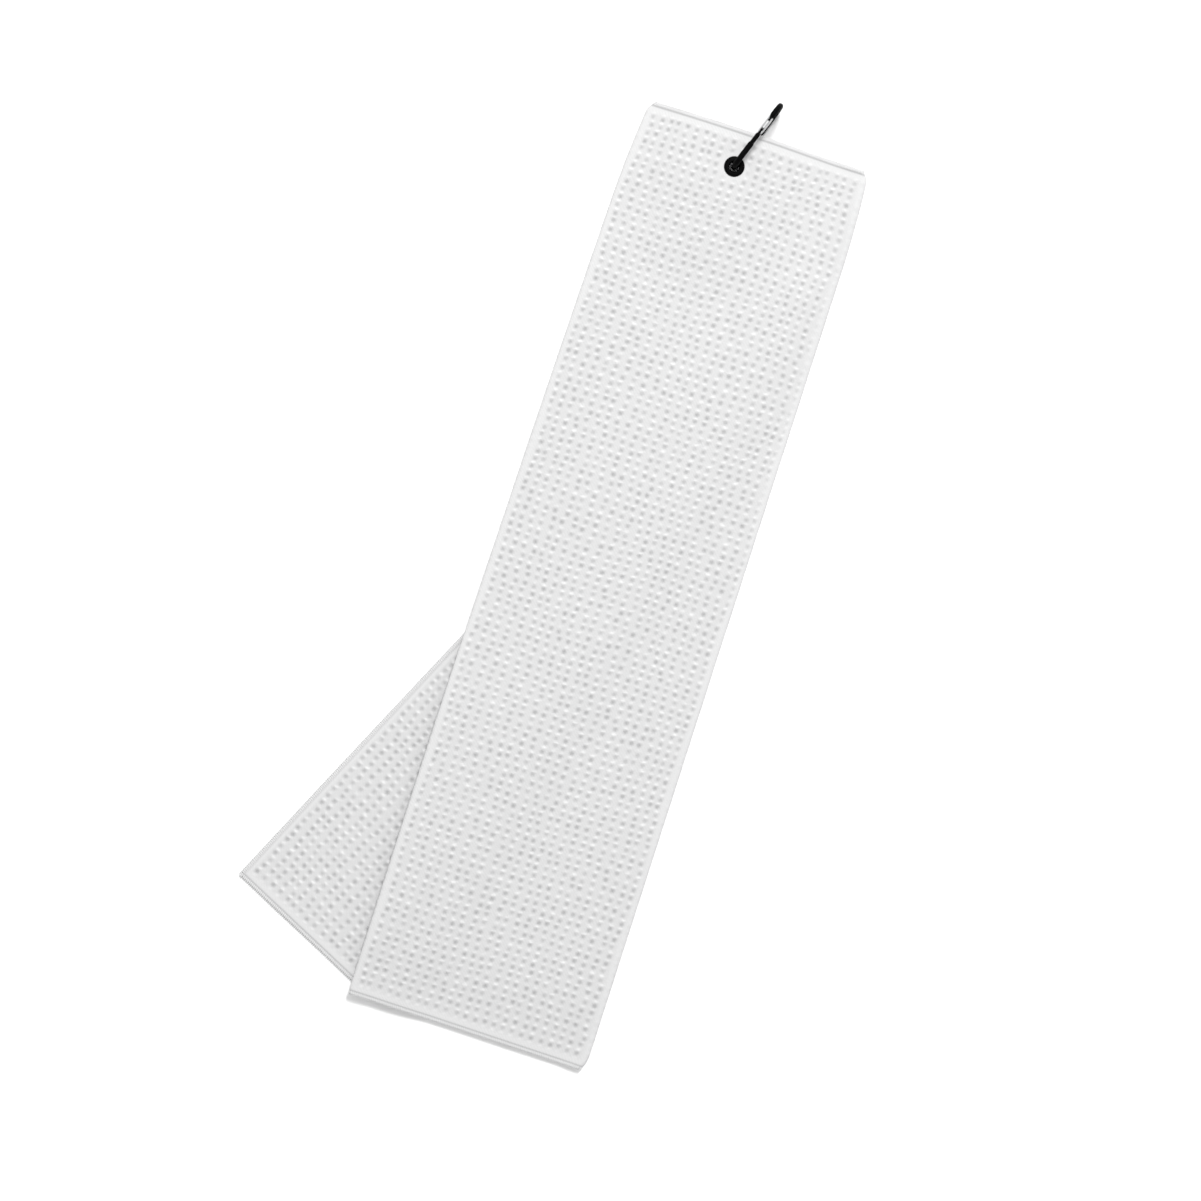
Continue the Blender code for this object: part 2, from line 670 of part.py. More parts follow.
def loop_path():
    """The wire's centre line from the hinge neck, round the grommet and the far end, to the nose."""
    far = CARABINER_REACH - WIRE_RADIUS
    stops = [
        (NECK_END, NECK_RADIUS),
        (NECK_START, NECK_RADIUS),
        (NECK_START - SHOULDER, WIRE_RADIUS),
    ]
    path = [Vector((0.0, along, TOP_BAR)) for along, _ in stops]
    radii = [radius for _, radius in stops]
    low_near = WIRE_RADIUS + NEAR_BEND
    low_far = WIRE_RADIUS + FAR_BEND
    round_part = bend((NEAR_BEND, TOP_BAR - NEAR_BEND), NEAR_BEND, 90, 180, 6)
    round_part += bend((NEAR_BEND, low_near), NEAR_BEND, 180, 270, 6)
    round_part += bend((far - FAR_BEND, low_far), FAR_BEND, 270, 360, 6)
    round_part += bend((far - FAR_BEND, TOP_BAR - FAR_BEND), FAR_BEND, 0, 90, 6)
    path += round_part
    radii += [WIRE_RADIUS] * len(round_part)
    last_bend = far - FAR_BEND
    narrow = min(NOSE_START + NOSE_NECK_LENGTH, last_bend - SHOULDER)
    if narrow > NOSE_START:
        path.append(Vector((0.0, narrow, TOP_BAR)))
        radii.append(NECK_RADIUS)
    path.append(Vector((0.0, NOSE_START, TOP_BAR)))
    radii.append(NECK_RADIUS)
    return path, radii


def tang_outline():
    """The hinge tang seen from the side: round about the pivot, with a cam that lifts the plunger."""
    outline = [(NECK_END - OVERRUN, TOP_BAR - TANG_RADIUS)]
    outline.append((PIVOT, TOP_BAR - TANG_RADIUS))
    steps = 8
    for i in range(steps + 1):
        angle = -CAM_SWEEP * (1 - i / steps)
        radius = TANG_RADIUS - CAM_RISE_PER_RADIAN * angle
        outline.append((PIVOT + radius * math.cos(angle), TOP_BAR + radius * math.sin(angle)))
    for i in range(1, steps + 1):
        angle = math.pi / 2 * i / steps
        outline.append(
            (PIVOT + TANG_RADIUS * math.cos(angle), TOP_BAR + TANG_RADIUS * math.sin(angle))
        )
    outline.append((NECK_END - OVERRUN, TOP_BAR + TANG_RADIUS))
    return outline


def key_outline():
    """The nose's key seen from the side, with the notch that takes the latch pin from below."""
    low = TOP_BAR - KEY_HALF_HEIGHT
    high = TOP_BAR + KEY_HALF_HEIGHT
    notch_near = LATCH - PIN_HOLE_RADIUS
    notch_far = LATCH + PIN_HOLE_RADIUS
    notch_top = TOP_BAR + PIN_HOLE_RADIUS
    root = NOSE_START + OVERRUN
    return [
        (root, low),
        (root, high),
        (KEY_TIP, high),
        (KEY_TIP, TOP_BAR - PIN_RADIUS),
        (KEY_TIP + KEY_LIP, TOP_BAR - PIN_RADIUS),
        (notch_near, TOP_BAR),
        (notch_near, notch_top),
        (notch_far, notch_top),
        (notch_far, low),
    ]


def build_carabiner_body(axis):
    path, radii = loop_path()
    mesh = tube("carabiner_body", path, radii, 14)
    body = add_object("carabiner_body", mesh, axis, BLACK_PAINT)
    combine(body, "UNION", plate("tang_blank", tang_outline(), TANG_THICKNESS))
    combine(body, "UNION", plate("key_blank", key_outline(), TANG_THICKNESS))
    through_tang = TANG_THICKNESS + 2 * OVERRUN
    hole = cross_cylinder("tang_hole", PIVOT, TOP_BAR, PIN_HOLE_RADIUS, through_tang, 12)
    combine(body, "DIFFERENCE", hole)
    return body


def gate_profile():
    """Outer radius along the gate: a round hinge end about the pivot, then a straight tube."""
    steps = 6
    path = []
    radii = []
    for i in range(steps + 1):
        angle = math.pi / 2 * (1 - i / steps) * ROUND_END_SHARE
        path.append(Vector((0.0, PIVOT - GATE_RADIUS * math.sin(angle), TOP_BAR)))
        radii.append(GATE_RADIUS * math.cos(angle))
    path += [Vector((0.0, GATE_END - GATE_END_CHAMFER, TOP_BAR)), Vector((0.0, GATE_END, TOP_BAR))]
    radii += [GATE_RADIUS, GATE_RADIUS - GATE_END_CHAMFER]
    return path, radii


def build_gate(axis):
    path, radii = gate_profile()
    gate = add_object("carabiner_gate", tube("carabiner_gate", path, radii, 16), axis)
    gate.data.materials.append(material(BRIGHT_ALUMINIUM))
    half = SLOT_WIDTH / 2
    low = TOP_BAR - GATE_RADIUS - OVERRUN
    high = TOP_BAR + GATE_RADIUS + OVERRUN
    hinge_low = (-half, GATE_START - OVERRUN, low)
    combine(gate, "DIFFERENCE", box("hinge_slot", hinge_low, (half, HINGE_SLOT_END, high)))
    latch_high = (half, GATE_END + OVERRUN, high)
    combine(gate, "DIFFERENCE", box("latch_slot", (-half, LATCH_SLOT_START, low), latch_high))
    bore_path = [Vector((0.0, y, TOP_BAR)) for y in (HINGE_SLOT_END - BORE_OVERRUN, BORE_END)]
    bore = tube("gate_bore", bore_path, [BORE_DIAMETER / 2] * 2, 16)
    combine(gate, "DIFFERENCE", bore)
    through_gate = GATE_DIAMETER + 2 * OVERRUN
    for name, along in (("pivot_hole", PIVOT), ("latch_hole", LATCH)):
        hole = cross_cylinder(name, along, TOP_BAR, PIN_HOLE_RADIUS, through_gate, 12)
        combine(gate, "DIFFERENCE", hole)
    return gate


def build_pin(name, along, axis):
    length = GATE_DIAMETER - 2 * PIN_SETBACK
    mesh = cross_cylinder(name, along, TOP_BAR, PIN_RADIUS, length, 12)
    return add_object(name, mesh, axis, STEEL)


def build_plunger(axis):
    """The push pin in the gate's bore, with a round tip against the tang's cam."""
    radius = PLUNGER_DIAMETER / 2
    path = []
    radii = []
    for degrees in (6, 30, 60, 90):
        angle = math.radians(degrees)
        path.append(Vector((0.0, PLUNGER_TIP + radius * (1 - math.cos(angle)), TOP_BAR)))
        radii.append(radius * math.sin(angle))
    path.append(Vector((0.0, PLUNGER_TIP + PLUNGER_LENGTH, TOP_BAR)))
    radii.append(radius)
    return add_object("gate_plunger", tube("gate_plunger", path, radii, 12), axis, STEEL)


def build_spring(axis):
    """The compression spring behind the plunger, seated at the bottom of the bore."""
    mean_radius = (PLUNGER_DIAMETER - SPRING_WIRE) / 2
    per_turn = 12
    steps = SPRING_TURNS * per_turn
    start = SPRING_START + SPRING_WIRE / 2
    length = SPRING_END - SPRING_START - SPRING_WIRE
    path = []
    for i in range(steps + 1):
        angle = math.tau * i / per_turn
        across = mean_radius * math.cos(angle)
        height = TOP_BAR + mean_radius * math.sin(angle)
        path.append(Vector((across, start + length * i / steps, height)))
    mesh = tube("gate_spring", path, [SPRING_WIRE / 2] * len(path), 6)
    return add_object("gate_spring", mesh, axis, STEEL)


def footprint_centre():
    """The middle of the part's outline on the surface, in the towel's own axes."""
    corner = fold_points(np.array(-EDGE_THREAD_REACH), np.array(0.0))
    widest = max(right_fold(CORNER_TUCK_LENGTH), right_fold(SHEET_LENGTH)) + CLOTH_THICKNESS / 2
    reach = CARABINER_REACH - WIRE_RADIUS
    tip = GROMMET_Y + reach * math.cos(CARABINER_ANGLE) + WIRE_RADIUS
    return (corner[0] + widest) / 2, (tip - EDGE_THREAD_REACH) / 2


def main():
    for obj in list(bpy.data.objects):
        bpy.data.objects.remove(obj)
    centre_x, centre_y = footprint_centre()
    towel = add_empty("towel_frame", (-centre_x, -centre_y, 0.0))
    build_cloth(towel)
    build_edge_threads(towel)
    build_grommet(towel)
    swing = add_empty("swing_axis", (GROMMET_FROM_LEFT, GROMMET_Y, 0.0), towel, CARABINER_ANGLE)
    build_carabiner_body(swing)
    build_gate(swing)
    build_pin("gate_pivot_pin", PIVOT, swing)
    build_pin("gate_latch_pin", LATCH, swing)
    build_plunger(swing)
    build_spring(swing)


main()
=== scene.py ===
"""The look of a folded waffle golf towel with a grommet and a snap carabiner, in its CAD model's frame.

Units are metres. The cloth is one sheet: every point of it has a sheet position (u from the left cut
edge, v up from the bottom hem), and FoldedSheet carries sheet positions to where the folded cloth lies.
The waffle relief, the hems and the edge threads are all laid out in sheet positions first and folded
afterwards.
"""

import json
import logging
import math
from dataclasses import dataclass, field
from enum import Enum

import bpy
import numpy as np
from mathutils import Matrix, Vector


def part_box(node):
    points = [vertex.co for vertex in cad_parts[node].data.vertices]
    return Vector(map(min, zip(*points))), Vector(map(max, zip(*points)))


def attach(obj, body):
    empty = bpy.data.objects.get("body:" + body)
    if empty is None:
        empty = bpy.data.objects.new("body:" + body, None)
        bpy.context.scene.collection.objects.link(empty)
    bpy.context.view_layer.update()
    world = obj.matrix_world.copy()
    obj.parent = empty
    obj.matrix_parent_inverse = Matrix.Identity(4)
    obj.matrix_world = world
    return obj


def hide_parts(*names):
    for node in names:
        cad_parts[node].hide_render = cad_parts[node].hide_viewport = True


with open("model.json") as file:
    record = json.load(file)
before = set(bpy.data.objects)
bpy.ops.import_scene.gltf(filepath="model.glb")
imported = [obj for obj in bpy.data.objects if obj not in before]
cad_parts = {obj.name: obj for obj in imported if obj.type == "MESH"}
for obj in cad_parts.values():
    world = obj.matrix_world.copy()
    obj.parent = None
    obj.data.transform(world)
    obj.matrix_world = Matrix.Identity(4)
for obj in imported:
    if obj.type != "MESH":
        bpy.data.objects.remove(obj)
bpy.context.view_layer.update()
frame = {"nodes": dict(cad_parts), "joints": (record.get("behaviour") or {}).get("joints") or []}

log = logging.getLogger("golf_towel")

Points = np.ndarray

SHEET_UV = "sheet_position"
# the cloth's tone attribute: painted shade in the waffle pits and painted highlight on the lumps
RELIEF_SHADE_AND_HIGHLIGHT = "relief"
FLOOR_CLEARANCE = 0.00003  # the cloth and its threads come no lower than this
WASHER_TO_CLOTH = 0.0019  # from the grommet's underside to where the cloth's lift is measured


def smooth_step(x: Points) -> Points:
    """A rise from 0 to 1 over 0 to 1 that starts and ends level."""
    x = np.clip(x, 0.0, 1.0)
    return x * x * (3 - 2 * x)


# ---------------------------------------------------------------- the folded cloth


class Edge(Enum):
    """A cut edge of the sheet: its name, and the direction out of the sheet across it."""

    TOP = ("top", 0, 1)
    BOTTOM = ("bottom", 0, -1)
    LEFT = ("left", -1, 0)
    RIGHT = ("right", 1, 0)

    @property
    def node(self) -> str:
        """The CAD node of the thread along this edge."""
        return f"edge_thread_{self.value[0]}"

    @property
    def outward(self) -> tuple[int, int]:
        """The direction out of the sheet, in sheet positions."""
        return self.value[1], self.value[2]


@dataclass(frozen=True)
class FoldedSheet:
    """How the cut sheet is folded: both sides behind the front, and the left one's end turned out."""

    origin: Vector
    lift: float
    width: float = 0.406
    length: float = 0.610
    thickness: float = 0.0013
    layer_pitch: float = 0.0020
    back_left: float = 0.1358
    back_right_bottom: float = 0.1096
    back_right_top: float = 0.1160
    fold_radius: float = 0.0014
    fold_bulge: float = 0.018
    pleat_depth: float = 0.0158
    pleat_angle: float = math.radians(12.5)
    pleat_radius: float = 0.0012
    step_margin: float = 0.006
    back_ramp: float = 0.014
    front_ramp: float = 0.034
    left_bow: float = 0.0024
    bow_reach: float = 0.090
    tuck: float = 0.0035
    tuck_length: float = 0.012
    tuck_reach: float = 0.030
    corner_radius: float = 0.0065
    corner_turn: float = 0.85
    corner_reach: float = 0.034
    top_inset: float = 0.0030
    top_inset_length: float = 0.065
    grommet_from_left: float = 0.0677
    grommet_inset: float = 0.0241
    lift_plateau: float = 0.0092
    lift_across: float = 0.080
    lift_down: float = 0.095
    lift_up: float = 0.170
    rumple_height: float = 0.0005
    loose_height: float = 0.0034
    loose_ramp: float = 0.013
    loose_reach: float = 0.060
    loose_at_hem: float = 0.25
    loose_rise: float = 0.060
    loose_top: float = 0.290
    loose_fall: float = 0.110
    front_loft: float = 0.0019
    loft_side_ramp: float = 0.020
    loft_end_ramp: float = 0.045
    loft_end_gap: float = 0.050

    @property
    def half_arc(self) -> float:
        """Half the cloth's length round a side fold."""
        return math.pi * self.fold_radius / 2

    @property
    def pleat_half_arc(self) -> float:
        """Half the cloth's length round the pleat."""
        return math.pi * self.pleat_radius / 2

    @property
    def take_up(self) -> float:
        """How far a side fold's middle line lies outside the folded edge's centre line."""
        return self.half_arc - self.fold_radius

    @property
    def front_start(self) -> float:
        """Sheet position of the front panel's left fold."""
        return self.back_left + self.take_up

    @property
    def grommet_y(self) -> float:
        """Height of the grommet's axis up the towel."""
        return self.length - self.grommet_inset

    def cover(self, past_edge: Points, ramp: float) -> Points:
        """How far a layer holds up the one above it.

        Args:
            past_edge: Distance outside the lower layer's edge.
            ramp: The distance over which the upper layer sinks.

        Returns:
            1 over the lower layer and a little past its edge, 0 further out.
        """
        return smooth_step((self.step_margin + ramp - past_edge) / ramp)

    def turn(self, side: Points, half_arc: float, radius: float) -> tuple[Points, Points]:
        """Fold a plane at side == 0.

        Args:
            side: Distance past the fold's middle line.
            half_arc: Half the cloth's length round the fold.
            radius: The fold's radius.

        Returns:
            The new distance from the line, and how far round the cloth is, from 0 to 1.
        """
        angle = np.clip((side + half_arc) / radius, 0.0, math.pi)
        on_arc = -half_arc + radius * np.sin(angle)
        moved = np.where(side < -half_arc, side, np.where(side > half_arc, -side, on_arc))
        return moved, (1 - np.cos(angle)) / 2

    def right_fold(self, y: Points) -> Points:
        """Where the front panel's right fold lies.

        Args:
            y: Distances up from the bottom hem.

        Returns:
            Distances to the right of the left fold.
        """
        bottom = self.width - self.back_left - self.back_right_bottom
        top = self.width - self.back_left - self.back_right_top
        return bottom + (top - bottom) * y / self.length

    def layer_heights(self, x: Points, y: Points) -> tuple[Points, Points, Points, Points]:
        """How high each layer lies before the carabiner lifts it.

        Args:
            x: Distances to the right of the left fold.
            y: Distances up from the bottom hem.

        Returns:
            Mid-surface heights of the turned-out end, the left back, the right back and the front panel.
        """
        across, down = math.cos(self.pleat_angle), -math.sin(self.pleat_angle)
        side = self.pleat_side(x, y)
        past_pleat = side + self.pleat_half_arc - self.pleat_radius
        back_left_edge = self.back_left - self.take_up
        past_cut_edge = x - 2 * side * across - back_left_edge
        below_hem = 2 * side * down - y
        back_right_cut = self.width - self.front_start
        back_right_edge = 2 * (self.right_fold(y) + self.take_up) - back_right_cut

        def covers(ramp: float) -> tuple[Points, Points, Points]:
            """What holds a layer up.

            Args:
                ramp: The distance over which the layer above sinks.

            Returns:
                The shares of the turned-out end, the left back and the right back panel.
            """
            over_pleat = self.cover(past_pleat, ramp)
            turned_out = over_pleat * self.cover(past_cut_edge, ramp) * self.cover(below_hem, ramp)
            left = over_pleat * self.cover(x - back_left_edge, ramp)
            return turned_out, left, self.cover(back_right_edge - x, ramp)

        turned_out, left, _ = covers(self.back_ramp)
        near_pleat = smooth_step(1 - np.abs(past_pleat) / self.fold_bulge)
        pleat_bulge = (2 * self.pleat_radius - self.layer_pitch) * near_pleat * turned_out
        from_left = (x - self.fold_radius) / self.fold_bulge
        from_right = (self.right_fold(y) - self.fold_radius - x) / self.fold_bulge
        side_bulge = smooth_step(1 - from_left) + smooth_step(1 - from_right)
        z_turned = np.full_like(x, self.thickness / 2)
        loose = self.loose_fold(x, y)
        z_left = z_turned + self.layer_pitch * turned_out + pleat_bulge + loose
        z_right = z_left + self.layer_pitch * left
        z_front = z_turned + self.layer_pitch * sum(covers(self.front_ramp)) + pleat_bulge + loose
        z_front = z_front + (2 * self.fold_radius - self.layer_pitch) * side_bulge
        return z_turned, z_left, z_right, z_front + self.loft(x, y)

    def loose_fold(self, x: Points, y: Points) -> Points:
        """How far the left fold stands up off the turned-out end.

        Args:
            x: Distances to the right of the left fold.
            y: Distances up from the bottom hem.

        Returns:
            Heights, which fall off towards the hem, the pleat and the end's top corner.
        """
        from_pleat = smooth_step(-self.pleat_side(x, y) / self.loose_ramp)
        near_fold = smooth_step(1 - x / self.loose_reach)
        above_hem = self.loose_at_hem + (1 - self.loose_at_hem) * smooth_step(y / self.loose_rise)
        below_top = smooth_step((self.loose_top - y) / self.loose_fall)
        return self.loose_height * from_pleat * near_fold * above_hem * below_top

    def loft(self, x: Points, y: Points) -> Points:
        """How far the front panel stands up between its rolled sides.

        Args:
            x: Distances to the right of the left fold.
            y: Distances up from the bottom hem.

        Returns:
            Heights, which are 0 at both sides, at the hem and at the grommet.
        """
        sides = smooth_step(x / self.loft_side_ramp)
        sides = sides * smooth_step((self.right_fold(y) - x) / self.loft_side_ramp)
        ends = smooth_step((self.length - self.loft_end_gap - y) / self.loft_end_ramp)
        return self.front_loft * sides * ends * smooth_step(y / self.loft_end_ramp)

    def pleat_side(self, x: Points, y: Points) -> Points:
        """How far a point lies from the pleat's fold line.

        Args:
            x: Distances to the right of the left fold.
            y: Distances up from the bottom hem.

        Returns:
            Distances to the right of the line.
        """
        across, down = math.cos(self.pleat_angle), math.sin(self.pleat_angle)
        foot = self.pleat_depth + (self.pleat_half_arc - self.pleat_radius) / across
        return (x - foot) * across - y * down

    def outline_shift(self, x: Points, y: Points) -> Points:
        """The shift that bows the left edge, tucks the lower right corner and rounds the top corners.

        Args:
            x: Distances to the right of the left fold.
            y: Distances up from the bottom hem.

        Returns:
            Sideways shifts, to the right.
        """
        along = np.clip(y / self.length, 0.0, 1.0)
        bow = -self.left_bow * 4 * along * (1 - along) * smooth_step(1 - x / self.bow_reach)
        tuck = self.tuck * np.clip(1 - y / self.tuck_length, 0.0, 1.2) ** 2
        from_right = self.right_fold(y) - x
        tuck = tuck * smooth_step(1 - from_right / self.tuck_reach)
        into_corner = np.clip(1 - (self.length - y) / self.corner_radius, 0.0, self.corner_turn)
        inset = self.corner_radius * (1 - np.sqrt(1 - into_corner**2))
        near_top = np.clip(1 - (self.length - y) / self.top_inset_length, 0.0, 1.0)
        inset = inset + self.top_inset * near_top**2
        left = smooth_step(1 - x / self.corner_reach)
        right = smooth_step(1 - from_right / self.corner_reach)
        return bow - tuck + inset * (left - right)

    def lifted(self, x: Points, y: Points) -> Points:
        """How far the carabiner holds the cloth up.

        Args:
            x: Distances to the right of the left fold.
            y: Distances up from the bottom hem.

        Returns:
            Heights, level round the grommet and falling to 0 all round.
        """
        across = x - self.grommet_from_left
        up = y - self.grommet_y
        away = np.hypot(across, up)
        reach_along = np.where(up > 0, self.lift_up, self.lift_down)
        share = np.hypot(across / self.lift_across, up / reach_along)
        flat_share = self.lift_plateau * share / np.maximum(away, 1e-6)
        beyond = np.clip((share - flat_share) / (1 - flat_share), 0.0, 1.0)
        return self.lift * (1 + np.cos(math.pi * beyond)) / 2

    def rumple(self, x: Points, y: Points) -> Points:
        """The soft unevenness that all layers share.

        Args:
            x: Distances to the right of the left fold.
            y: Distances up from the bottom hem.

        Returns:
            Heights of a few crossed waves, slow and quick.
        """
        slow = np.sin(x / 0.021 + y / 0.034 + 0.6) * np.sin(y / 0.027 - x / 0.046 + 1.9)
        quick = np.sin(x / 0.011 - y / 0.016 + 2.2) * np.sin(y / 0.013 + x / 0.030)
        return self.rumple_height * (1 + 0.7 * slow + 0.3 * quick) / 2

    def points(self, u: Points, v: Points) -> Points:
        """Fold sheet positions.

        Args:
            u: Sheet positions from the left cut edge.
            v: Sheet positions up from the bottom hem.

        Returns:
            Points of the cloth's mid-surface in the object's frame.
        """
        x = np.asarray(u, float) - self.front_start
        y = np.array(v, float)
        left_side = -self.take_up - x
        right_line = self.right_fold(y) + self.take_up
        left_moved, left_turn = self.turn(left_side, self.half_arc, self.fold_radius)
        right_moved, right_turn = self.turn(x - right_line, self.half_arc, self.fold_radius)
        on_left = left_side > x - right_line
        x = np.where(on_left, -self.take_up - left_moved, right_line + right_moved)
        side = self.pleat_side(x, y)
        moved, pleat_turn = self.turn(side, self.pleat_half_arc, self.pleat_radius)
        behind_left = left_turn >= 1.0
        shift = np.where(behind_left, moved - side, 0.0)
        pleat_turn = np.where(behind_left, pleat_turn, 0.0)
        x = x + shift * math.cos(self.pleat_angle)
        y = y - shift * math.sin(self.pleat_angle)
        z_turned, z_left, z_right, z_front = self.layer_heights(x, y)
        z = z_front + (z_left - z_front) * left_turn + (z_right - z_front) * right_turn
        z = z + (z_turned - z_left) * pleat_turn
        x = x + self.outline_shift(x, y)
        z = z + self.lifted(x, y) + self.rumple(x, y)
        return np.stack([x, y, z], axis=-1) + np.array(self.origin)

    def normals(self, u: Points, v: Points, step: float = 0.0002) -> Points:
        """Which way the cloth faces.

        Args:
            u: Sheet positions from the left cut edge.
            v: Sheet positions up from the bottom hem.
            step: How far off the neighbours are that each direction is taken from.

        Returns:
            Unit normals out of the side of the cloth that the front panel shows.
        """
        along_u = self.points(u + step, v) - self.points(u - step, v)
        along_v = self.points(u, v + step) - self.points(u, v - step)
        normal = np.cross(along_u, along_v)
        return normal / np.linalg.norm(normal, axis=-1, keepdims=True)

    def from_folds(self, u: Points, v: Points) -> Points:
        """How far each point is from a fold.

        Args:
            u: Sheet positions from the left cut edge.
            v: Sheet positions up from the bottom hem.

        Returns:
            Distances along the sheet to the nearest side fold or to the pleat.
        """
        x = u - self.front_start
        from_left = np.abs(x + self.take_up)
        from_right = np.abs(x - self.right_fold(v) - self.take_up)
        behind = -2 * self.take_up - x
        from_pleat = np.where(behind > 0, np.abs(self.pleat_side(behind, v)), self.length)
        return np.minimum(np.minimum(from_left, from_right), from_pleat)

    def grommet_holes(self) -> list[tuple[float, float]]:
        """Where the grommet goes through the cloth.

        Returns:
            Sheet positions of its hole in the front, the left back and the right back panel.
        """
        y = self.grommet_y
        near = np.array(self.grommet_from_left)
        x = self.grommet_from_left - float(self.outline_shift(near, np.array(y)))
        right_line = float(self.right_fold(y)) + self.take_up
        front = self.front_start + x
        back_left = self.front_start - 2 * self.take_up - x
        back_right = self.front_start + 2 * right_line - x
        return [(u, y) for u in (front, back_left, back_right)]


@dataclass(frozen=True)
class WaffleWeave:
    """The waffle relief: pits on one face lie behind the ridge crossings of the other."""

    cells_across: int = 62
    cells_along: int = 107
    steps: int = 6
    pit_depth: float = 0.00095
    ridge: float = 0.00058
    lump_height: float = 0.00037
    pit_across: float = 0.76
    pit_along: float = 0.90
    lump_across: float = 0.75
    lump_along: float = 0.55
    roundness: float = 2.1
    scatter: float = 0.30
    pit_variation: float = 0.50
    lump_variation: float = 0.7
    # tone of the plain ridge: pits paint shade below it and lumps paint highlight above it
    plain_tone: float = 0.52
    hem_band: float = 0.0066
    side_band: float = 0.0044
    band_height: float = 0.00045
    band_columns: int = 6
    band_tone: float = 0.62
    field_ramp: float = 0.25
    fold_flat: float = 0.0030
    fold_ramp: float = 0.0035
    fold_press: float = 0.85
    seam_inset: float = 0.0022
    seam_width: float = 0.0012
    seam_depth: float = 0.00012
    # painted shade in the groove of the sunk stitch line
    seam_shade: float = 0.50
    side_seam: float = 0.35
    waver: float = 0.0008
    waver_edge_ramp: float = 0.03
    waver_hole_margin: float = 0.006
    waver_hole_ramp: float = 0.012
    pressed_radius: float = 0.0075
    pressed_ramp: float = 0.004

    def stops(self, size: float, band: float, cells: int) -> Points:
        """Sheet positions of the mesh's lines across one direction of the sheet.

        Args:
            size: The sheet's size in that direction.
            band: The width of the smooth band at each end.
            cells: The number of waffle cells between the bands.

        Returns:
            Positions from 0 to size: a few across each band, and a fixed number in each cell.
        """
        in_band = np.linspace(0.0, band, self.band_columns + 1)
        in_cells = np.linspace(band, size - band, cells * self.steps + 1)
        return np.concatenate([in_band[:-1], in_cells, size - in_band[::-1][1:]])

    def wavered(self, sheet: FoldedSheet, u: Points, v: Points) -> tuple[Points, Points]:
        """Move sheet positions a little sideways, so that the rows of cells aren't ruled lines.

        Args:
            sheet: The folded sheet, for its edges and the grommet's holes, which stay in place.
            u: Sheet positions from the left cut edge.
            v: Sheet positions up from the bottom hem.

        Returns:
            The moved u and v.
        """
        inside = smooth_step(np.minimum(u, sheet.width - u) / self.waver_edge_ramp)
        inside = inside * smooth_step(np.minimum(v, sheet.length - v) / self.waver_edge_ramp)
        for hole_u, hole_v in sheet.grommet_holes():
            past_hole = np.hypot(u - hole_u, v - hole_v) - self.waver_hole_margin
            inside = inside * smooth_step(past_hole / self.waver_hole_ramp)
        du = np.sin(v / 0.017 + 2.1 * np.sin(u / 0.031)) + 0.6 * np.sin(u / 0.012 + v / 0.041)
        dv = np.sin(u / 0.019 + 1.7 * np.sin(v / 0.037)) + 0.6 * np.sin(v / 0.014 - u / 0.033)
        return u + self.waver * inside * du, v + self.waver * inside * dv

    def cell_share(self, sheet: FoldedSheet, u: Points, v: Points) -> tuple[Points, Points]:
        """Count positions in waffle cells.

        Args:
            sheet: The folded sheet.
            u: Sheet positions from the left cut edge.
            v: Sheet positions up from the bottom hem.

        Returns:
            Positions across and along the sheet in cells, from the corner of the waffle field.
        """
        across = (u - self.side_band) / (sheet.width - 2 * self.side_band) * self.cells_across
        along = (v - self.hem_band) / (sheet.length - 2 * self.hem_band) * self.cells_along
        return across, along

    def chance(self, column: Points, row: Points, salt: float) -> Points:
        """A number from 0 to 1 that differs from cell to cell without a pattern."""
        return np.modf(np.abs(np.sin(column * 12.9898 + row * 78.233 + salt) * 43758.5453))[0]

    def pits_and_lumps(self, across: Points, along: Points) -> tuple[Points, Points]:
        """The pattern of one face.

        Args:
            across: Positions across the sheet, counted in cells.
            along: Positions along the sheet, counted in cells.

        Returns:
            How deep each point lies in a pit, and how high on a lump of floating yarns between two
            pits, both from 0 to 1.
        """
        column, row = np.floor(across), np.floor(along)
        shift_across = self.scatter * (self.chance(column, row, 1.3) - 0.5)
        shift_along = self.scatter * (self.chance(column, row, 4.1) - 0.5)
        from_middle = np.abs(2 * (across - column + shift_across) - 1)
        up_from_middle = np.abs(2 * (along - row + shift_along) - 1)
        power = self.roundness
        reach = (from_middle / self.pit_across) ** power + (up_from_middle / self.pit_along) ** power
        reach = reach ** (1 / power)
        pit = (1 + np.cos(math.pi * np.clip(reach, 0.0, 1.0))) / 2
        pit = pit * (1 - self.pit_variation * self.chance(column, row, 0.0))
        line = np.round(along)
        from_lump = np.hypot(from_middle / self.lump_across, 2 * (along - line) / self.lump_along)
        lump = (1 + np.cos(math.pi * np.clip(from_lump, 0.0, 1.0))) / 2
        return pit, lump * (1 - self.lump_variation * self.chance(column, line, 2.7))

    def flatness(self, sheet: FoldedSheet, u: Points, v: Points) -> Points:
        """How far the relief is pressed flat.

        Args:
            sheet: The folded sheet.
            u: Sheet positions from the left cut edge.
            v: Sheet positions up from the bottom hem.

        Returns:
            1 in the hems and under the grommet, less on a fold, and 0 elsewhere.
        """
        across, along = self.cell_share(sheet, u, v)
        in_rows = np.minimum(along, self.cells_along - along)
        in_field = np.minimum(np.minimum(across, self.cells_across - across), in_rows)
        flat = 1 - smooth_step(in_field / self.field_ramp + 0.5)
        stretched = 1 - smooth_step((sheet.from_folds(u, v) - self.fold_flat) / self.fold_ramp)
        flat = np.maximum(flat, self.fold_press * stretched)
        for hole_u, hole_v in sheet.grommet_holes():
            away = np.hypot(u - hole_u, v - hole_v)
            pressed = 1 - smooth_step((away - self.pressed_radius) / self.pressed_ramp)
            flat = np.maximum(flat, pressed)
        return flat

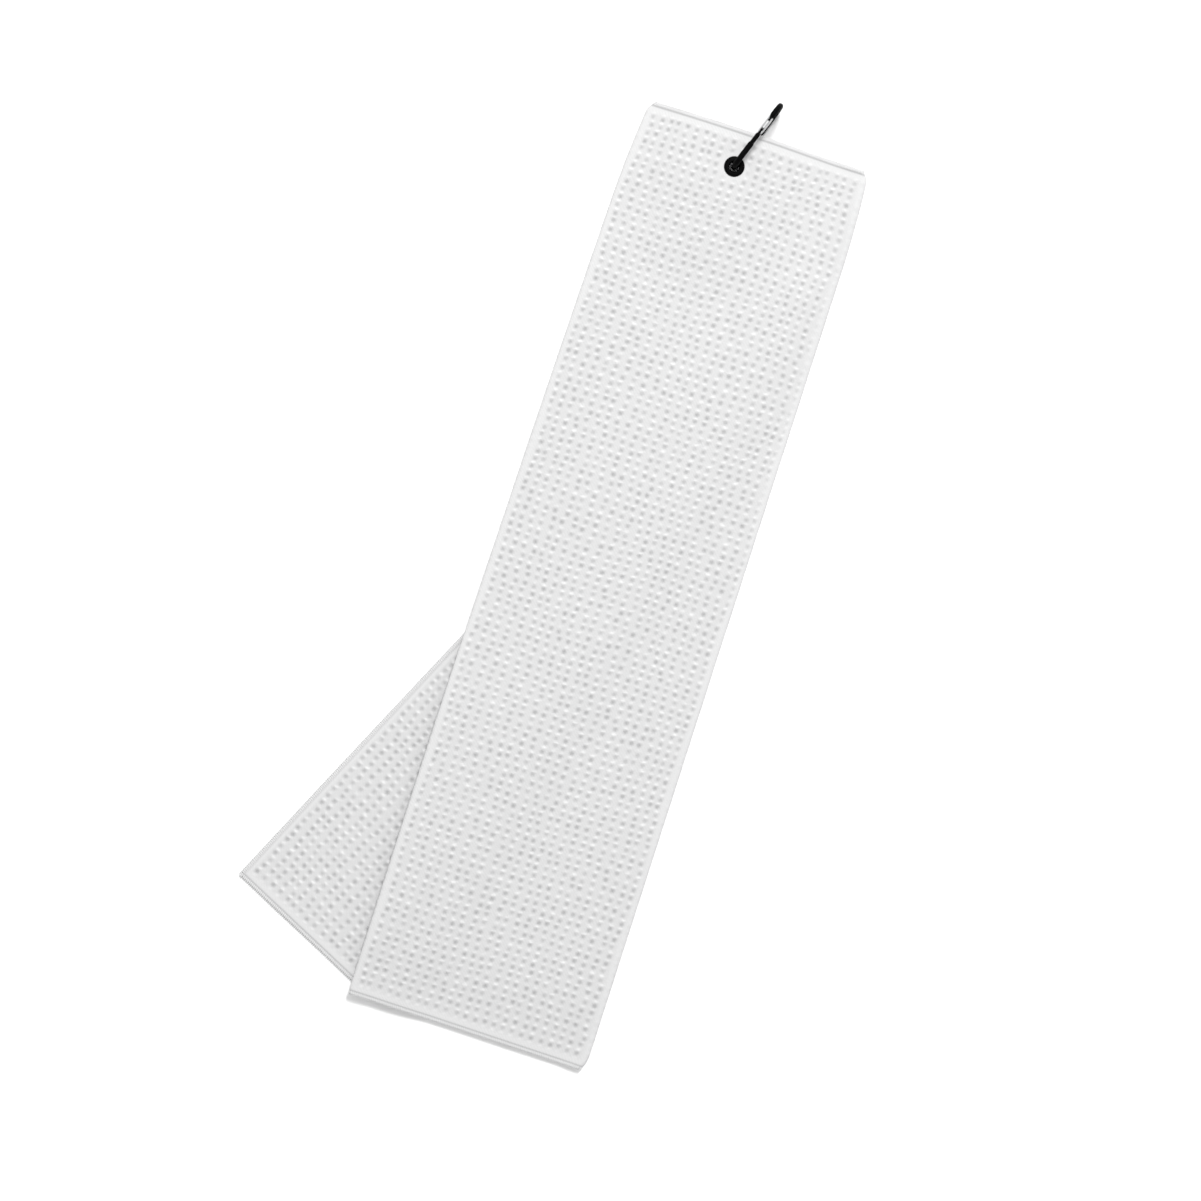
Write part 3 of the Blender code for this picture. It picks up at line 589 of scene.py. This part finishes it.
    def seam(self, sheet: FoldedSheet, u: Points, v: Points) -> Points:
        """The line of needle stitches that sinks into the cloth just inside the edge thread.

        Args:
            sheet: The folded sheet.
            u: Sheet positions from the left cut edge.
            v: Sheet positions up from the bottom hem.

        Returns:
            How deep the line is, from 0 beside it to 1 in its middle along a hem; the same value sets the
            painted shade in the line's groove.
        """
        in_hem = np.abs(np.minimum(v, sheet.length - v) - self.seam_inset)
        in_side = np.abs(np.minimum(u, sheet.width - u) - self.seam_inset)
        hem = np.clip(1 - in_hem / self.seam_width, 0.0, 1.0)
        return np.maximum(hem, self.side_seam * np.clip(1 - in_side / self.seam_width, 0.0, 1.0))

    def faces(self, sheet: FoldedSheet, u: Points, v: Points) -> tuple[Points, Points, Points]:
        """How far the two faces stand off the middle of the cloth.

        Args:
            sheet: The folded sheet.
            u: Sheet positions from the left cut edge.
            v: Sheet positions up from the bottom hem.

        Returns:
            The outer and the inner face's distance, and the outer one's tone, from 0 in a pit to 1 on a
            lump: painted shade in the pits and painted highlight on the lumps.
        """
        across, along = self.cell_share(sheet, u, v)
        flat = self.flatness(sheet, u, v)
        seam = self.seam(sheet, u, v)
        shaded_tones = []
        heights = []
        for shift in (0.0, 0.5):
            pit, lump = self.pits_and_lumps(across + shift, along + shift)
            height = self.ridge - self.pit_depth * pit + self.lump_height * lump
            # the tone is painted shade in the pits and painted highlight on the lumps
            tone = self.plain_tone * (1 - pit) + (1 - self.plain_tone) * lump
            heights.append(height + (self.band_height - height) * flat - self.seam_depth * seam)
            # the seam value darkens the stitch line: painted shade in its groove
            shaded_tones.append(tone + (self.band_tone - tone) * flat - self.seam_shade * seam)
        return heights[0], heights[1], shaded_tones[0]


# ---------------------------------------------------------------- mesh tools


def add_object(name: str, points: Points, faces: list, smooth: bool = True) -> bpy.types.Object:
    """Make a mesh object and link it to the scene.

    Args:
        name: The object's name.
        points: Its points.
        faces: Its faces, as lists of point numbers.
        smooth: Whether it is shaded smooth.

    Returns:
        The object.
    """
    mesh = bpy.data.meshes.new(name)
    mesh.from_pydata(points, [], faces)
    if smooth:
        mesh.shade_smooth()
    obj = bpy.data.objects.new(name, mesh)
    bpy.context.scene.collection.objects.link(obj)
    return obj


def rings_to_tube(rings: Points, closed: bool = False) -> tuple[Points, list]:
    """Points and faces of a tube through rings of points.

    Args:
        rings: An array of rings, each with equally many points.
        closed: Whether the last ring joins the first. An open tube gets a cap at each end.

    Returns:
        The points, and the faces as lists of point numbers.
    """
    count, sides = rings.shape[:2]
    index = np.arange(count * sides).reshape(count, sides)
    ahead = np.roll(index, -1, axis=0) if closed else index[1:]
    here = index if closed else index[:-1]
    turned = np.roll(here, -1, axis=1), np.roll(ahead, -1, axis=1)
    quads = np.stack([here, turned[0], turned[1], ahead], axis=-1).reshape(-1, 4).tolist()
    if not closed:
        quads += [index[0][::-1].tolist(), index[-1].tolist()]
    return rings.reshape(-1, 3), quads


def tube_rings(path: Points, radii: Points | float, sides: int, up: Points) -> Points:
    """Rings of points round a path.

    Args:
        path: Points along the middle of the tube.
        radii: The tube's radius, one for all or one for each point.
        sides: The number of points in a ring.
        up: Directions, one for all or one for each point, that aren't along the path.

    Returns:
        An array of rings.
    """
    along = np.gradient(path, axis=0)
    along = along / np.linalg.norm(along, axis=1, keepdims=True)
    first = np.cross(along, np.broadcast_to(up, path.shape))
    first = first / np.linalg.norm(first, axis=1, keepdims=True)
    second = np.cross(along, first)
    angles = np.linspace(0.0, math.tau, sides, endpoint=False)[None, :, None]
    across = first[:, None] * np.cos(angles) + second[:, None] * np.sin(angles)
    radii = np.broadcast_to(radii, len(path))[:, None, None]
    return path[:, None] + across * radii


# ---------------------------------------------------------------- finishes


@dataclass
class Nodes:
    """A shader node tree under construction."""

    tree: bpy.types.NodeTree

    def add(self, kind: str, **settings: object) -> bpy.types.Node:
        """Add a node.

        Args:
            kind: Blender's name for the node's type.
            **settings: The node's own settings, by name.

        Returns:
            The node.
        """
        node = self.tree.nodes.new(kind)
        for name, value in settings.items():
            setattr(node, name, value)
        return node

    def link(self, source: bpy.types.NodeSocket, target: bpy.types.NodeSocket) -> None:
        """Join an output to an input."""
        self.tree.links.new(source, target)

    def math(self, operation: str, first: object, second: object) -> bpy.types.NodeSocket:
        """Add a sum or another operation.

        Args:
            operation: Blender's name for the operation.
            first: A socket or a number.
            second: A socket or a number.

        Returns:
            The result's socket.
        """
        node = self.add("ShaderNodeMath", operation=operation)
        for socket, value in zip(node.inputs, (first, second)):
            if isinstance(value, bpy.types.NodeSocket):
                self.link(value, socket)
            else:
                socket.default_value = value
        return node.outputs[0]

    def mixed(self, share: bpy.types.NodeSocket, low: tuple, high: tuple) -> bpy.types.NodeSocket:
        """Add a mix of two colours.

        Args:
            share: The socket of the second colour's share.
            low: The colour at a share of 0.
            high: The colour at a share of 1.

        Returns:
            The colour's socket.
        """
        node = self.add("ShaderNodeMix", data_type="RGBA")
        self.link(share, node.inputs["Factor"])
        node.inputs[6].default_value = (*low, 1.0)
        node.inputs[7].default_value = (*high, 1.0)
        return node.outputs[2]

    def ranged(self, value: bpy.types.NodeSocket, low: float, high: float) -> bpy.types.NodeSocket:
        """Carry a value from 0 to 1 to another range.

        Args:
            value: The value's socket.
            low: What 0 becomes.
            high: What 1 becomes.

        Returns:
            The result's socket.
        """
        node = self.add("ShaderNodeMapRange")
        self.link(value, node.inputs["Value"])
        node.inputs["To Min"].default_value = low
        node.inputs["To Max"].default_value = high
        return node.outputs["Result"]


def fibre_group() -> bpy.types.ShaderNodeTree:
    """The node group for spun yarn, built once.

    Returns:
        A group that puts out a height for the yarn's twist and fuzz, and a faint tone.
    """
    name = "spun_yarn"
    found = bpy.data.node_groups.get(name)
    if found:
        return found
    group = bpy.data.node_groups.new(name, "ShaderNodeTree")
    face = group.interface
    face.new_socket("Position", in_out="INPUT", socket_type="NodeSocketVector")
    face.new_socket("Yarns per Metre", in_out="INPUT", socket_type="NodeSocketFloat")
    face.new_socket("Fuzz Scale", in_out="INPUT", socket_type="NodeSocketFloat")
    face.new_socket("Height", in_out="OUTPUT", socket_type="NodeSocketFloat")
    face.new_socket("Tone", in_out="OUTPUT", socket_type="NodeSocketFloat")
    nodes = Nodes(group)
    given = nodes.add("NodeGroupInput").outputs
    put_out = nodes.add("NodeGroupOutput").inputs
    yarns = nodes.add("ShaderNodeTexWave", wave_type="BANDS", bands_direction="DIAGONAL")
    yarns.inputs["Distortion"].default_value = 1.5
    yarns.inputs["Detail"].default_value = 1.0
    nodes.link(given["Position"], yarns.inputs["Vector"])
    nodes.link(given["Yarns per Metre"], yarns.inputs["Scale"])
    fuzz = nodes.add("ShaderNodeTexNoise")
    fuzz.inputs["Detail"].default_value = 3.0
    nodes.link(given["Position"], fuzz.inputs["Vector"])
    nodes.link(given["Fuzz Scale"], fuzz.inputs["Scale"])
    yarn_height = nodes.math("MULTIPLY", yarns.outputs["Fac"], 0.5)
    height = nodes.math("ADD", yarn_height, fuzz.outputs["Fac"])
    nodes.link(height, put_out["Height"])
    nodes.link(fuzz.outputs["Fac"], put_out["Tone"])
    return group


@dataclass(frozen=True)
class ClothFinish:
    """White cotton waffle cloth, with painted shade in its pits and painted highlight on the lumps
    between them.
    """

    name: str = "white_waffle_cloth"
    # the lump colour holds painted highlight and the pit colour holds painted shade
    ridge_colour_and_highlight: tuple[float, float, float] = (0.80, 0.80, 0.80)
    pit_colour_and_shade: tuple[float, float, float] = (0.36, 0.36, 0.363)
    roughness: float = 0.95
    sheen: float = 0.04
    yarns_per_metre: float = 260.0
    fuzz_scale: float = 1400.0
    fuzz_tone: float = 0.18
    bump_depth: float = 0.00010

    def material(self) -> bpy.types.Material:
        """Make the finish.

        Returns:
            The cloth's material, with yarn bump and a tone that follows the relief.
        """
        made = bpy.data.materials.new(self.name)
        made.use_nodes = True
        nodes = Nodes(made.node_tree)
        shader = made.node_tree.nodes["Principled BSDF"]
        shader.inputs["Roughness"].default_value = self.roughness
        shader.inputs["Sheen Weight"].default_value = self.sheen
        position = nodes.add("ShaderNodeUVMap", uv_map=SHEET_UV).outputs["UV"]
        fibre = nodes.add("ShaderNodeGroup", node_tree=fibre_group())
        fibre.inputs["Yarns per Metre"].default_value = self.yarns_per_metre
        fibre.inputs["Fuzz Scale"].default_value = self.fuzz_scale
        nodes.link(position, fibre.inputs["Position"])
        # the attribute paints shade into the pits and highlight onto the lumps
        relief = nodes.add("ShaderNodeAttribute", attribute_name=RELIEF_SHADE_AND_HIGHLIGHT).outputs["Fac"]
        fuzz_tone = nodes.ranged(fibre.outputs["Tone"], -self.fuzz_tone, self.fuzz_tone)
        toned_and_shaded = nodes.math("ADD", relief, fuzz_tone)
        colour = nodes.mixed(toned_and_shaded, self.pit_colour_and_shade, self.ridge_colour_and_highlight)
        nodes.link(colour, shader.inputs["Base Color"])
        bump = nodes.add("ShaderNodeBump")
        bump.inputs["Strength"].default_value = 1.0
        bump.inputs["Distance"].default_value = self.bump_depth
        nodes.link(fibre.outputs["Height"], bump.inputs["Height"])
        nodes.link(bump.outputs["Normal"], shader.inputs["Normal"])
        return made


@dataclass(frozen=True)
class ThreadFinish:
    """White overlock thread with a slight lustre."""

    name: str = "white_thread"
    dark: tuple[float, float, float] = (0.68, 0.68, 0.68)
    light: tuple[float, float, float] = (0.84, 0.84, 0.84)
    roughness: float = 0.8
    sheen: float = 0.04
    yarns_per_metre: float = 900.0
    fuzz_scale: float = 3000.0
    bump_depth: float = 0.00005

    def material(self) -> bpy.types.Material:
        """Make the finish.

        Returns:
            The thread's material, with the ply of the yarn as bump.
        """
        made = bpy.data.materials.new(self.name)
        made.use_nodes = True
        nodes = Nodes(made.node_tree)
        shader = made.node_tree.nodes["Principled BSDF"]
        shader.inputs["Roughness"].default_value = self.roughness
        shader.inputs["Sheen Weight"].default_value = self.sheen
        position = nodes.add("ShaderNodeTexCoord").outputs["Object"]
        fibre = nodes.add("ShaderNodeGroup", node_tree=fibre_group())
        fibre.inputs["Yarns per Metre"].default_value = self.yarns_per_metre
        fibre.inputs["Fuzz Scale"].default_value = self.fuzz_scale
        nodes.link(position, fibre.inputs["Position"])
        nodes.link(nodes.mixed(fibre.outputs["Tone"], self.dark, self.light), shader.inputs["Base Color"])
        bump = nodes.add("ShaderNodeBump")
        bump.inputs["Distance"].default_value = self.bump_depth
        nodes.link(fibre.outputs["Height"], bump.inputs["Height"])
        nodes.link(bump.outputs["Normal"], shader.inputs["Normal"])
        return made


@dataclass(frozen=True)
class MetalFinish:
    """Painted or bare metal with a fine unevenness in its gloss."""

    name: str
    dark: tuple[float, float, float]
    light: tuple[float, float, float]
    metallic: float
    smooth: float
    rough: float
    grain_scale: float
    bump_depth: float
    specular: float = 0.5

    def material(self) -> bpy.types.Material:
        """Make the finish.

        Returns:
            The metal's material, with its grain as bump and in its gloss.
        """
        made = bpy.data.materials.new(self.name)
        made.use_nodes = True
        nodes = Nodes(made.node_tree)
        shader = made.node_tree.nodes["Principled BSDF"]
        shader.inputs["Metallic"].default_value = self.metallic
        shader.inputs["Specular IOR Level"].default_value = self.specular
        position = nodes.add("ShaderNodeTexCoord").outputs["Object"]
        grain = nodes.add("ShaderNodeTexNoise")
        grain.inputs["Scale"].default_value = self.grain_scale
        grain.inputs["Detail"].default_value = 4.0
        nodes.link(position, grain.inputs["Vector"])
        share = grain.outputs["Fac"]
        nodes.link(nodes.mixed(share, self.dark, self.light), shader.inputs["Base Color"])
        nodes.link(nodes.ranged(share, self.smooth, self.rough), shader.inputs["Roughness"])
        bump = nodes.add("ShaderNodeBump")
        bump.inputs["Distance"].default_value = self.bump_depth
        nodes.link(share, bump.inputs["Height"])
        nodes.link(bump.outputs["Normal"], shader.inputs["Normal"])
        return made


BLACK_PAINT = MetalFinish(
    name="black_painted_metal",
    dark=(0.0008, 0.0008, 0.0009),
    light=(0.0020, 0.0020, 0.0022),
    metallic=0.0,
    smooth=0.42,
    rough=0.56,
    grain_scale=900.0,
    bump_depth=0.00002,
    specular=0.035,
)
BRIGHT_ALUMINIUM = MetalFinish(
    name="bright_aluminium",
    dark=(0.56, 0.565, 0.57),
    light=(0.68, 0.685, 0.69),
    metallic=1.0,
    smooth=0.16,
    rough=0.34,
    grain_scale=1500.0,
    bump_depth=0.00001,
)
SPRING_STEEL = MetalFinish(
    name="spring_steel",
    dark=(0.42, 0.43, 0.45),
    light=(0.62, 0.63, 0.65),
    metallic=1.0,
    smooth=0.22,
    rough=0.40,
    grain_scale=2500.0,
    bump_depth=0.00001,
)


# ---------------------------------------------------------------- the towel


@dataclass
class WaffleCloth:
    """The cloth itself: one closed sheet with waffle relief on both faces."""

    sheet: FoldedSheet
    weave: WaffleWeave = field(default_factory=WaffleWeave)
    hole_radius: float = 0.0050

    def kept_quads(self, u: Points, v: Points) -> Points:
        """Which of the grid's quads stay.

        Args:
            u: Sheet positions of the grid from the left cut edge.
            v: Sheet positions of the grid up from the bottom hem.

        Returns:
            True for each quad outside the grommet's holes.
        """
        middle_u = (u[:-1, :-1] + u[1:, 1:]) / 2
        middle_v = (v[:-1, :-1] + v[1:, 1:]) / 2
        keep = np.ones(middle_u.shape, bool)
        for hole_u, hole_v in self.sheet.grommet_holes():
            keep &= np.hypot(middle_u - hole_u, middle_v - hole_v) > self.hole_radius
        return keep

    def quads(self, keep: Points) -> Points:
        """Close the sheet: both faces, and walls where a kept quad has no neighbour.

        Args:
            keep: True for each quad of the grid that stays.

        Returns:
            Four point numbers for each face, with the inner side's points after all of the outer side's.
        """
        columns, rows = keep.shape[0] + 1, keep.shape[1] + 1
        index = np.arange(columns * rows).reshape(columns, rows)
        count = columns * rows
        i, j = np.nonzero(keep)
        corners = [index[i, j], index[i + 1, j], index[i + 1, j + 1], index[i, j + 1]]
        top = np.stack(corners, axis=1)
        faces = [top, top[:, ::-1] + count]
        around = np.pad(keep, 1)
        sides = ((0, -1, 0, 1), (1, 0, 1, 2), (0, 1, 2, 3), (-1, 0, 3, 0))
        for di, dj, start, end in sides:
            beyond = around[1 + di : around.shape[0] - 1 + di, 1 + dj : around.shape[1] - 1 + dj]
            is_open = ~beyond[i, j]
            first, last = corners[start][is_open], corners[end][is_open]
            faces.append(np.stack([last, first, first + count, last + count], axis=1))
        return np.concatenate(faces)

    def build(self) -> bpy.types.Object:
        """Build the sheet where the CAD cloth lies.

        Returns:
            The cloth, with its sheet positions as UVs and its relief's painted shade and highlight as an
            attribute.
        """
        stops_u = self.weave.stops(self.sheet.width, self.weave.side_band, self.weave.cells_across)
        stops_v = self.weave.stops(self.sheet.length, self.weave.hem_band, self.weave.cells_along)
        u, v = np.meshgrid(stops_u, stops_v, indexing="ij")
        keep = self.kept_quads(u, v)
        outer, inner, relief = self.weave.faces(self.sheet, u, v)
        u, v = self.weave.wavered(self.sheet, u, v)
        middle = self.sheet.points(u, v)
        normal = self.sheet.normals(u, v)
        sides = (middle + normal * outer[..., None], middle - normal * inner[..., None])
        points = np.concatenate([side.reshape(-1, 3) for side in sides])
        points[:, 2] = np.maximum(points[:, 2], FLOOR_CLEARANCE)
        faces = self.quads(keep)
        used, faces = np.unique(faces, return_inverse=True)
        faces = faces.reshape(-1, 4)
        obj = add_object("waffle_towel", points[used], faces.tolist())
        sheet_positions = np.tile(np.stack([u.ravel(), v.ravel()], axis=1), (2, 1))[used]
        uv = obj.data.uv_layers.new(name=SHEET_UV)
        uv.data.foreach_set("uv", sheet_positions[faces.ravel()].ravel())
        # this attribute paints shade into the pits and highlight onto the lumps
        shade_attribute = obj.data.attributes.new(RELIEF_SHADE_AND_HIGHLIGHT, "FLOAT", "POINT")
        shade_attribute.data.foreach_set("value", np.tile(relief.ravel(), 2)[used])
        return obj

    def dress(self, obj: bpy.types.Object) -> None:
        """Give the cloth its finish, tie it to its body, and hide the CAD node that it stands in for.

        Args:
            obj: The cloth.
        """
        obj.data.materials.append(ClothFinish().material())
        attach(obj, "towel")
        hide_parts("towel_cloth")


@dataclass
class EdgeThread:
    """The overlock thread that wraps one cut edge, one slanted stitch after another."""

    sheet: FoldedSheet
    edge: Edge
    pitch: float = 0.0013
    bite: float = 0.0019
    reach: float = 0.0007
    half_height: float = 0.00067
    radius: float = 0.00023
    sides: int = 5
    look_ahead: float = 0.001

    def outline(self) -> list[tuple[float, float, float]]:
        """One stitch, round the edge from the top to the underside.

        Returns:
            For each point, its share of the pitch, its reach past the edge and its height.
        """
        rise = self.half_height
        return [
            (0.00, -self.bite, rise * 0.7),
            (0.08, -self.bite * 0.8, rise),
            (0.28, -self.bite * 0.2, rise),
            (0.38, self.reach * 0.7, rise * 0.9),
            (0.45, self.reach, rise * 0.4),
            (0.50, self.reach, -rise * 0.4),
            (0.55, self.reach * 0.7, -rise * 0.9),
            (0.64, -self.bite * 0.2, -rise),
            (0.82, -self.bite * 0.8, -rise),
            (0.90, -self.bite, -rise * 0.7),
        ]

    def build(self) -> bpy.types.Object:
        """Build the wrapped thread.

        Returns:
            One long tube.
        """
        out_u, out_v = self.edge.outward
        size = self.sheet.width if out_v else self.sheet.length
        stitches = round(size / self.pitch)
        stitch = np.array(self.outline())
        start = np.arange(stitches)[:, None] + stitch[None, :, 0]
        along = (start * size / stitches).ravel()
        reach = np.tile(stitch[:, 1], stitches)
        height = np.tile(stitch[:, 2], stitches)
        base_u = self.sheet.width if out_u > 0 else 0.0
        base_v = self.sheet.length if out_v > 0 else 0.0
        u = along if out_v else base_u + out_u * reach
        v = along if out_u else base_v + out_v * reach
        normal = self.sheet.normals(u, v)
        path = self.sheet.points(u, v) + normal * height[:, None]
        ahead_u = along + self.look_ahead if out_v else u
        ahead_v = along + self.look_ahead if out_u else v
        edge_direction = self.sheet.points(ahead_u, ahead_v) - self.sheet.points(u, v)
        rings = tube_rings(path, self.radius, self.sides, edge_direction)
        rings[..., 2] = np.maximum(rings[..., 2], FLOOR_CLEARANCE)
        points, faces = rings_to_tube(rings)
        return add_object(f"overlock_{self.edge.value[0]}", points, faces)

    def dress(self, obj: bpy.types.Object, finish: bpy.types.Material) -> None:
        """Give the thread its finish, tie it to its body, and hide the CAD node that it stands in for.

        Args:
            obj: The thread.
            finish: The material that all four threads share.
        """
        obj.data.materials.append(finish)
        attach(obj, "towel")
        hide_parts(self.edge.node)


# ---------------------------------------------------------------- the hardware


@dataclass
class Hardware:
    """The grommet and the carabiner: CAD pieces that keep their shapes and get their finishes here."""

    black: tuple[str, ...] = ("grommet_eyelet", "grommet_washer", "carabiner_body")
    bright: tuple[str, ...] = ("carabiner_gate",)
    steel: tuple[str, ...] = ("gate_pivot_pin", "gate_latch_pin", "gate_spring", "gate_plunger")

    def dress(self) -> None:
        """Put each finish on its CAD nodes."""
        for names, finish in (
            (self.black, BLACK_PAINT),
            (self.bright, BRIGHT_ALUMINIUM),
            (self.steel, SPRING_STEEL),
        ):
            material = finish.material()
            for name in names:
                obj = frame["nodes"][name]
                for slot in obj.material_slots:
                    slot.material = material
                log.info("dressed %s in %s", name, finish.name)


# ---------------------------------------------------------------- the studio


@dataclass
class Studio:
    """A pale floor, soft lights and the camera over the towel."""

    floor_size: float = 14.0
    floor_drop: float = 0.0002
    floor_colour: tuple[float, float, float] = (0.95, 0.95, 0.95)
    view_width: float = 0.7795
    view_centre: tuple[float, float] = (0.0400, -0.0236)
    camera_height: float = 2.6
    roll: float = math.radians(18.43)
    sensor_mm: float = 36.0
    floor_roughness: float = 0.9
    view_reach: float = 50.0
    sky: float = 0.755
    key_power: float = 66.0
    key_size: float = 0.8
    key_distance: float = 3.0
    key_tilt: float = math.radians(33.0)
    key_turn: float = math.radians(-20.0)

    def build(self) -> None:
        """Build the floor, the lights and the camera."""
        self.build_floor()
        self.build_lights()
        self.build_camera()
        bpy.context.scene.view_settings.view_transform = "Standard"

    def build_floor(self) -> None:
        """A wide flat floor just under the towel."""
        half = self.floor_size / 2
        corners = [(-half, -half), (half, -half), (half, half), (-half, half)]
        points = np.array([(x, y, -self.floor_drop) for x, y in corners])
        floor = add_object("studio_floor", points, [[0, 1, 2, 3]], smooth=False)
        made = bpy.data.materials.new("studio_floor")
        made.use_nodes = True
        shader = made.node_tree.nodes["Principled BSDF"]
        shader.inputs["Base Color"].default_value = (*self.floor_colour, 1.0)
        shader.inputs["Roughness"].default_value = self.floor_roughness
        floor.data.materials.append(made)

    def build_lights(self) -> None:
        """A soft key light from beyond the towel's top end, and an even sky."""
        data = bpy.data.lights.new("key_light", "AREA")
        data.shape = "DISK"
        data.size = self.key_size
        data.energy = self.key_power
        key = bpy.data.objects.new("key_light", data)
        bpy.context.scene.collection.objects.link(key)
        turn = self.roll + self.key_turn
        level = self.key_distance * math.sin(self.key_tilt)
        height = self.key_distance * math.cos(self.key_tilt)
        key.location = (-level * math.sin(turn), level * math.cos(turn), height)
        key.rotation_euler = (-self.key_tilt, 0.0, turn)
        world = bpy.data.worlds.new("even_sky")
        bpy.context.scene.world = world
        world.use_nodes = True
        background = world.node_tree.nodes["Background"]
        background.inputs["Color"].default_value = (1.0, 1.0, 1.0, 1.0)
        background.inputs["Strength"].default_value = self.sky

    def build_camera(self) -> None:
        """The camera straight above, turned so that the towel leans to the right."""
        data = bpy.data.cameras.new("camera")
        data.sensor_width = self.sensor_mm
        data.lens = data.sensor_width * self.camera_height / self.view_width
        data.clip_end = self.view_reach
        camera = bpy.data.objects.new("camera", data)
        bpy.context.scene.collection.objects.link(camera)
        camera.location = (*self.view_centre, self.camera_height)
        camera.rotation_euler = (0.0, 0.0, self.roll)
        bpy.context.scene.camera = camera


def main() -> None:
    """Build the pieces in order and report each one."""
    logging.basicConfig(level=logging.INFO, format="%(message)s")
    swing = next(j for j in frame["joints"] if j["name"] == "carabiner_swing")
    grommet_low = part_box("grommet_eyelet")[0]
    grommet_up = FoldedSheet.length - FoldedSheet.grommet_inset
    origin = Vector(swing["pos_m"]) - Vector((FoldedSheet.grommet_from_left, grommet_up, 0.0))
    sheet = FoldedSheet(origin=origin, lift=grommet_low.z + WASHER_TO_CLOTH)

    cloth = WaffleCloth(sheet)
    towel = cloth.build()
    cloth.dress(towel)
    log.info("built %s with %d faces", towel.name, len(towel.data.polygons))

    thread_finish = ThreadFinish().material()
    for edge in Edge:
        thread = EdgeThread(sheet, edge)
        obj = thread.build()
        thread.dress(obj, thread_finish)
        log.info("built %s with %d faces", obj.name, len(obj.data.polygons))

    Hardware().dress()
    Studio().build()
    log.info("built the studio")


if __name__ == "__main__":
    main()
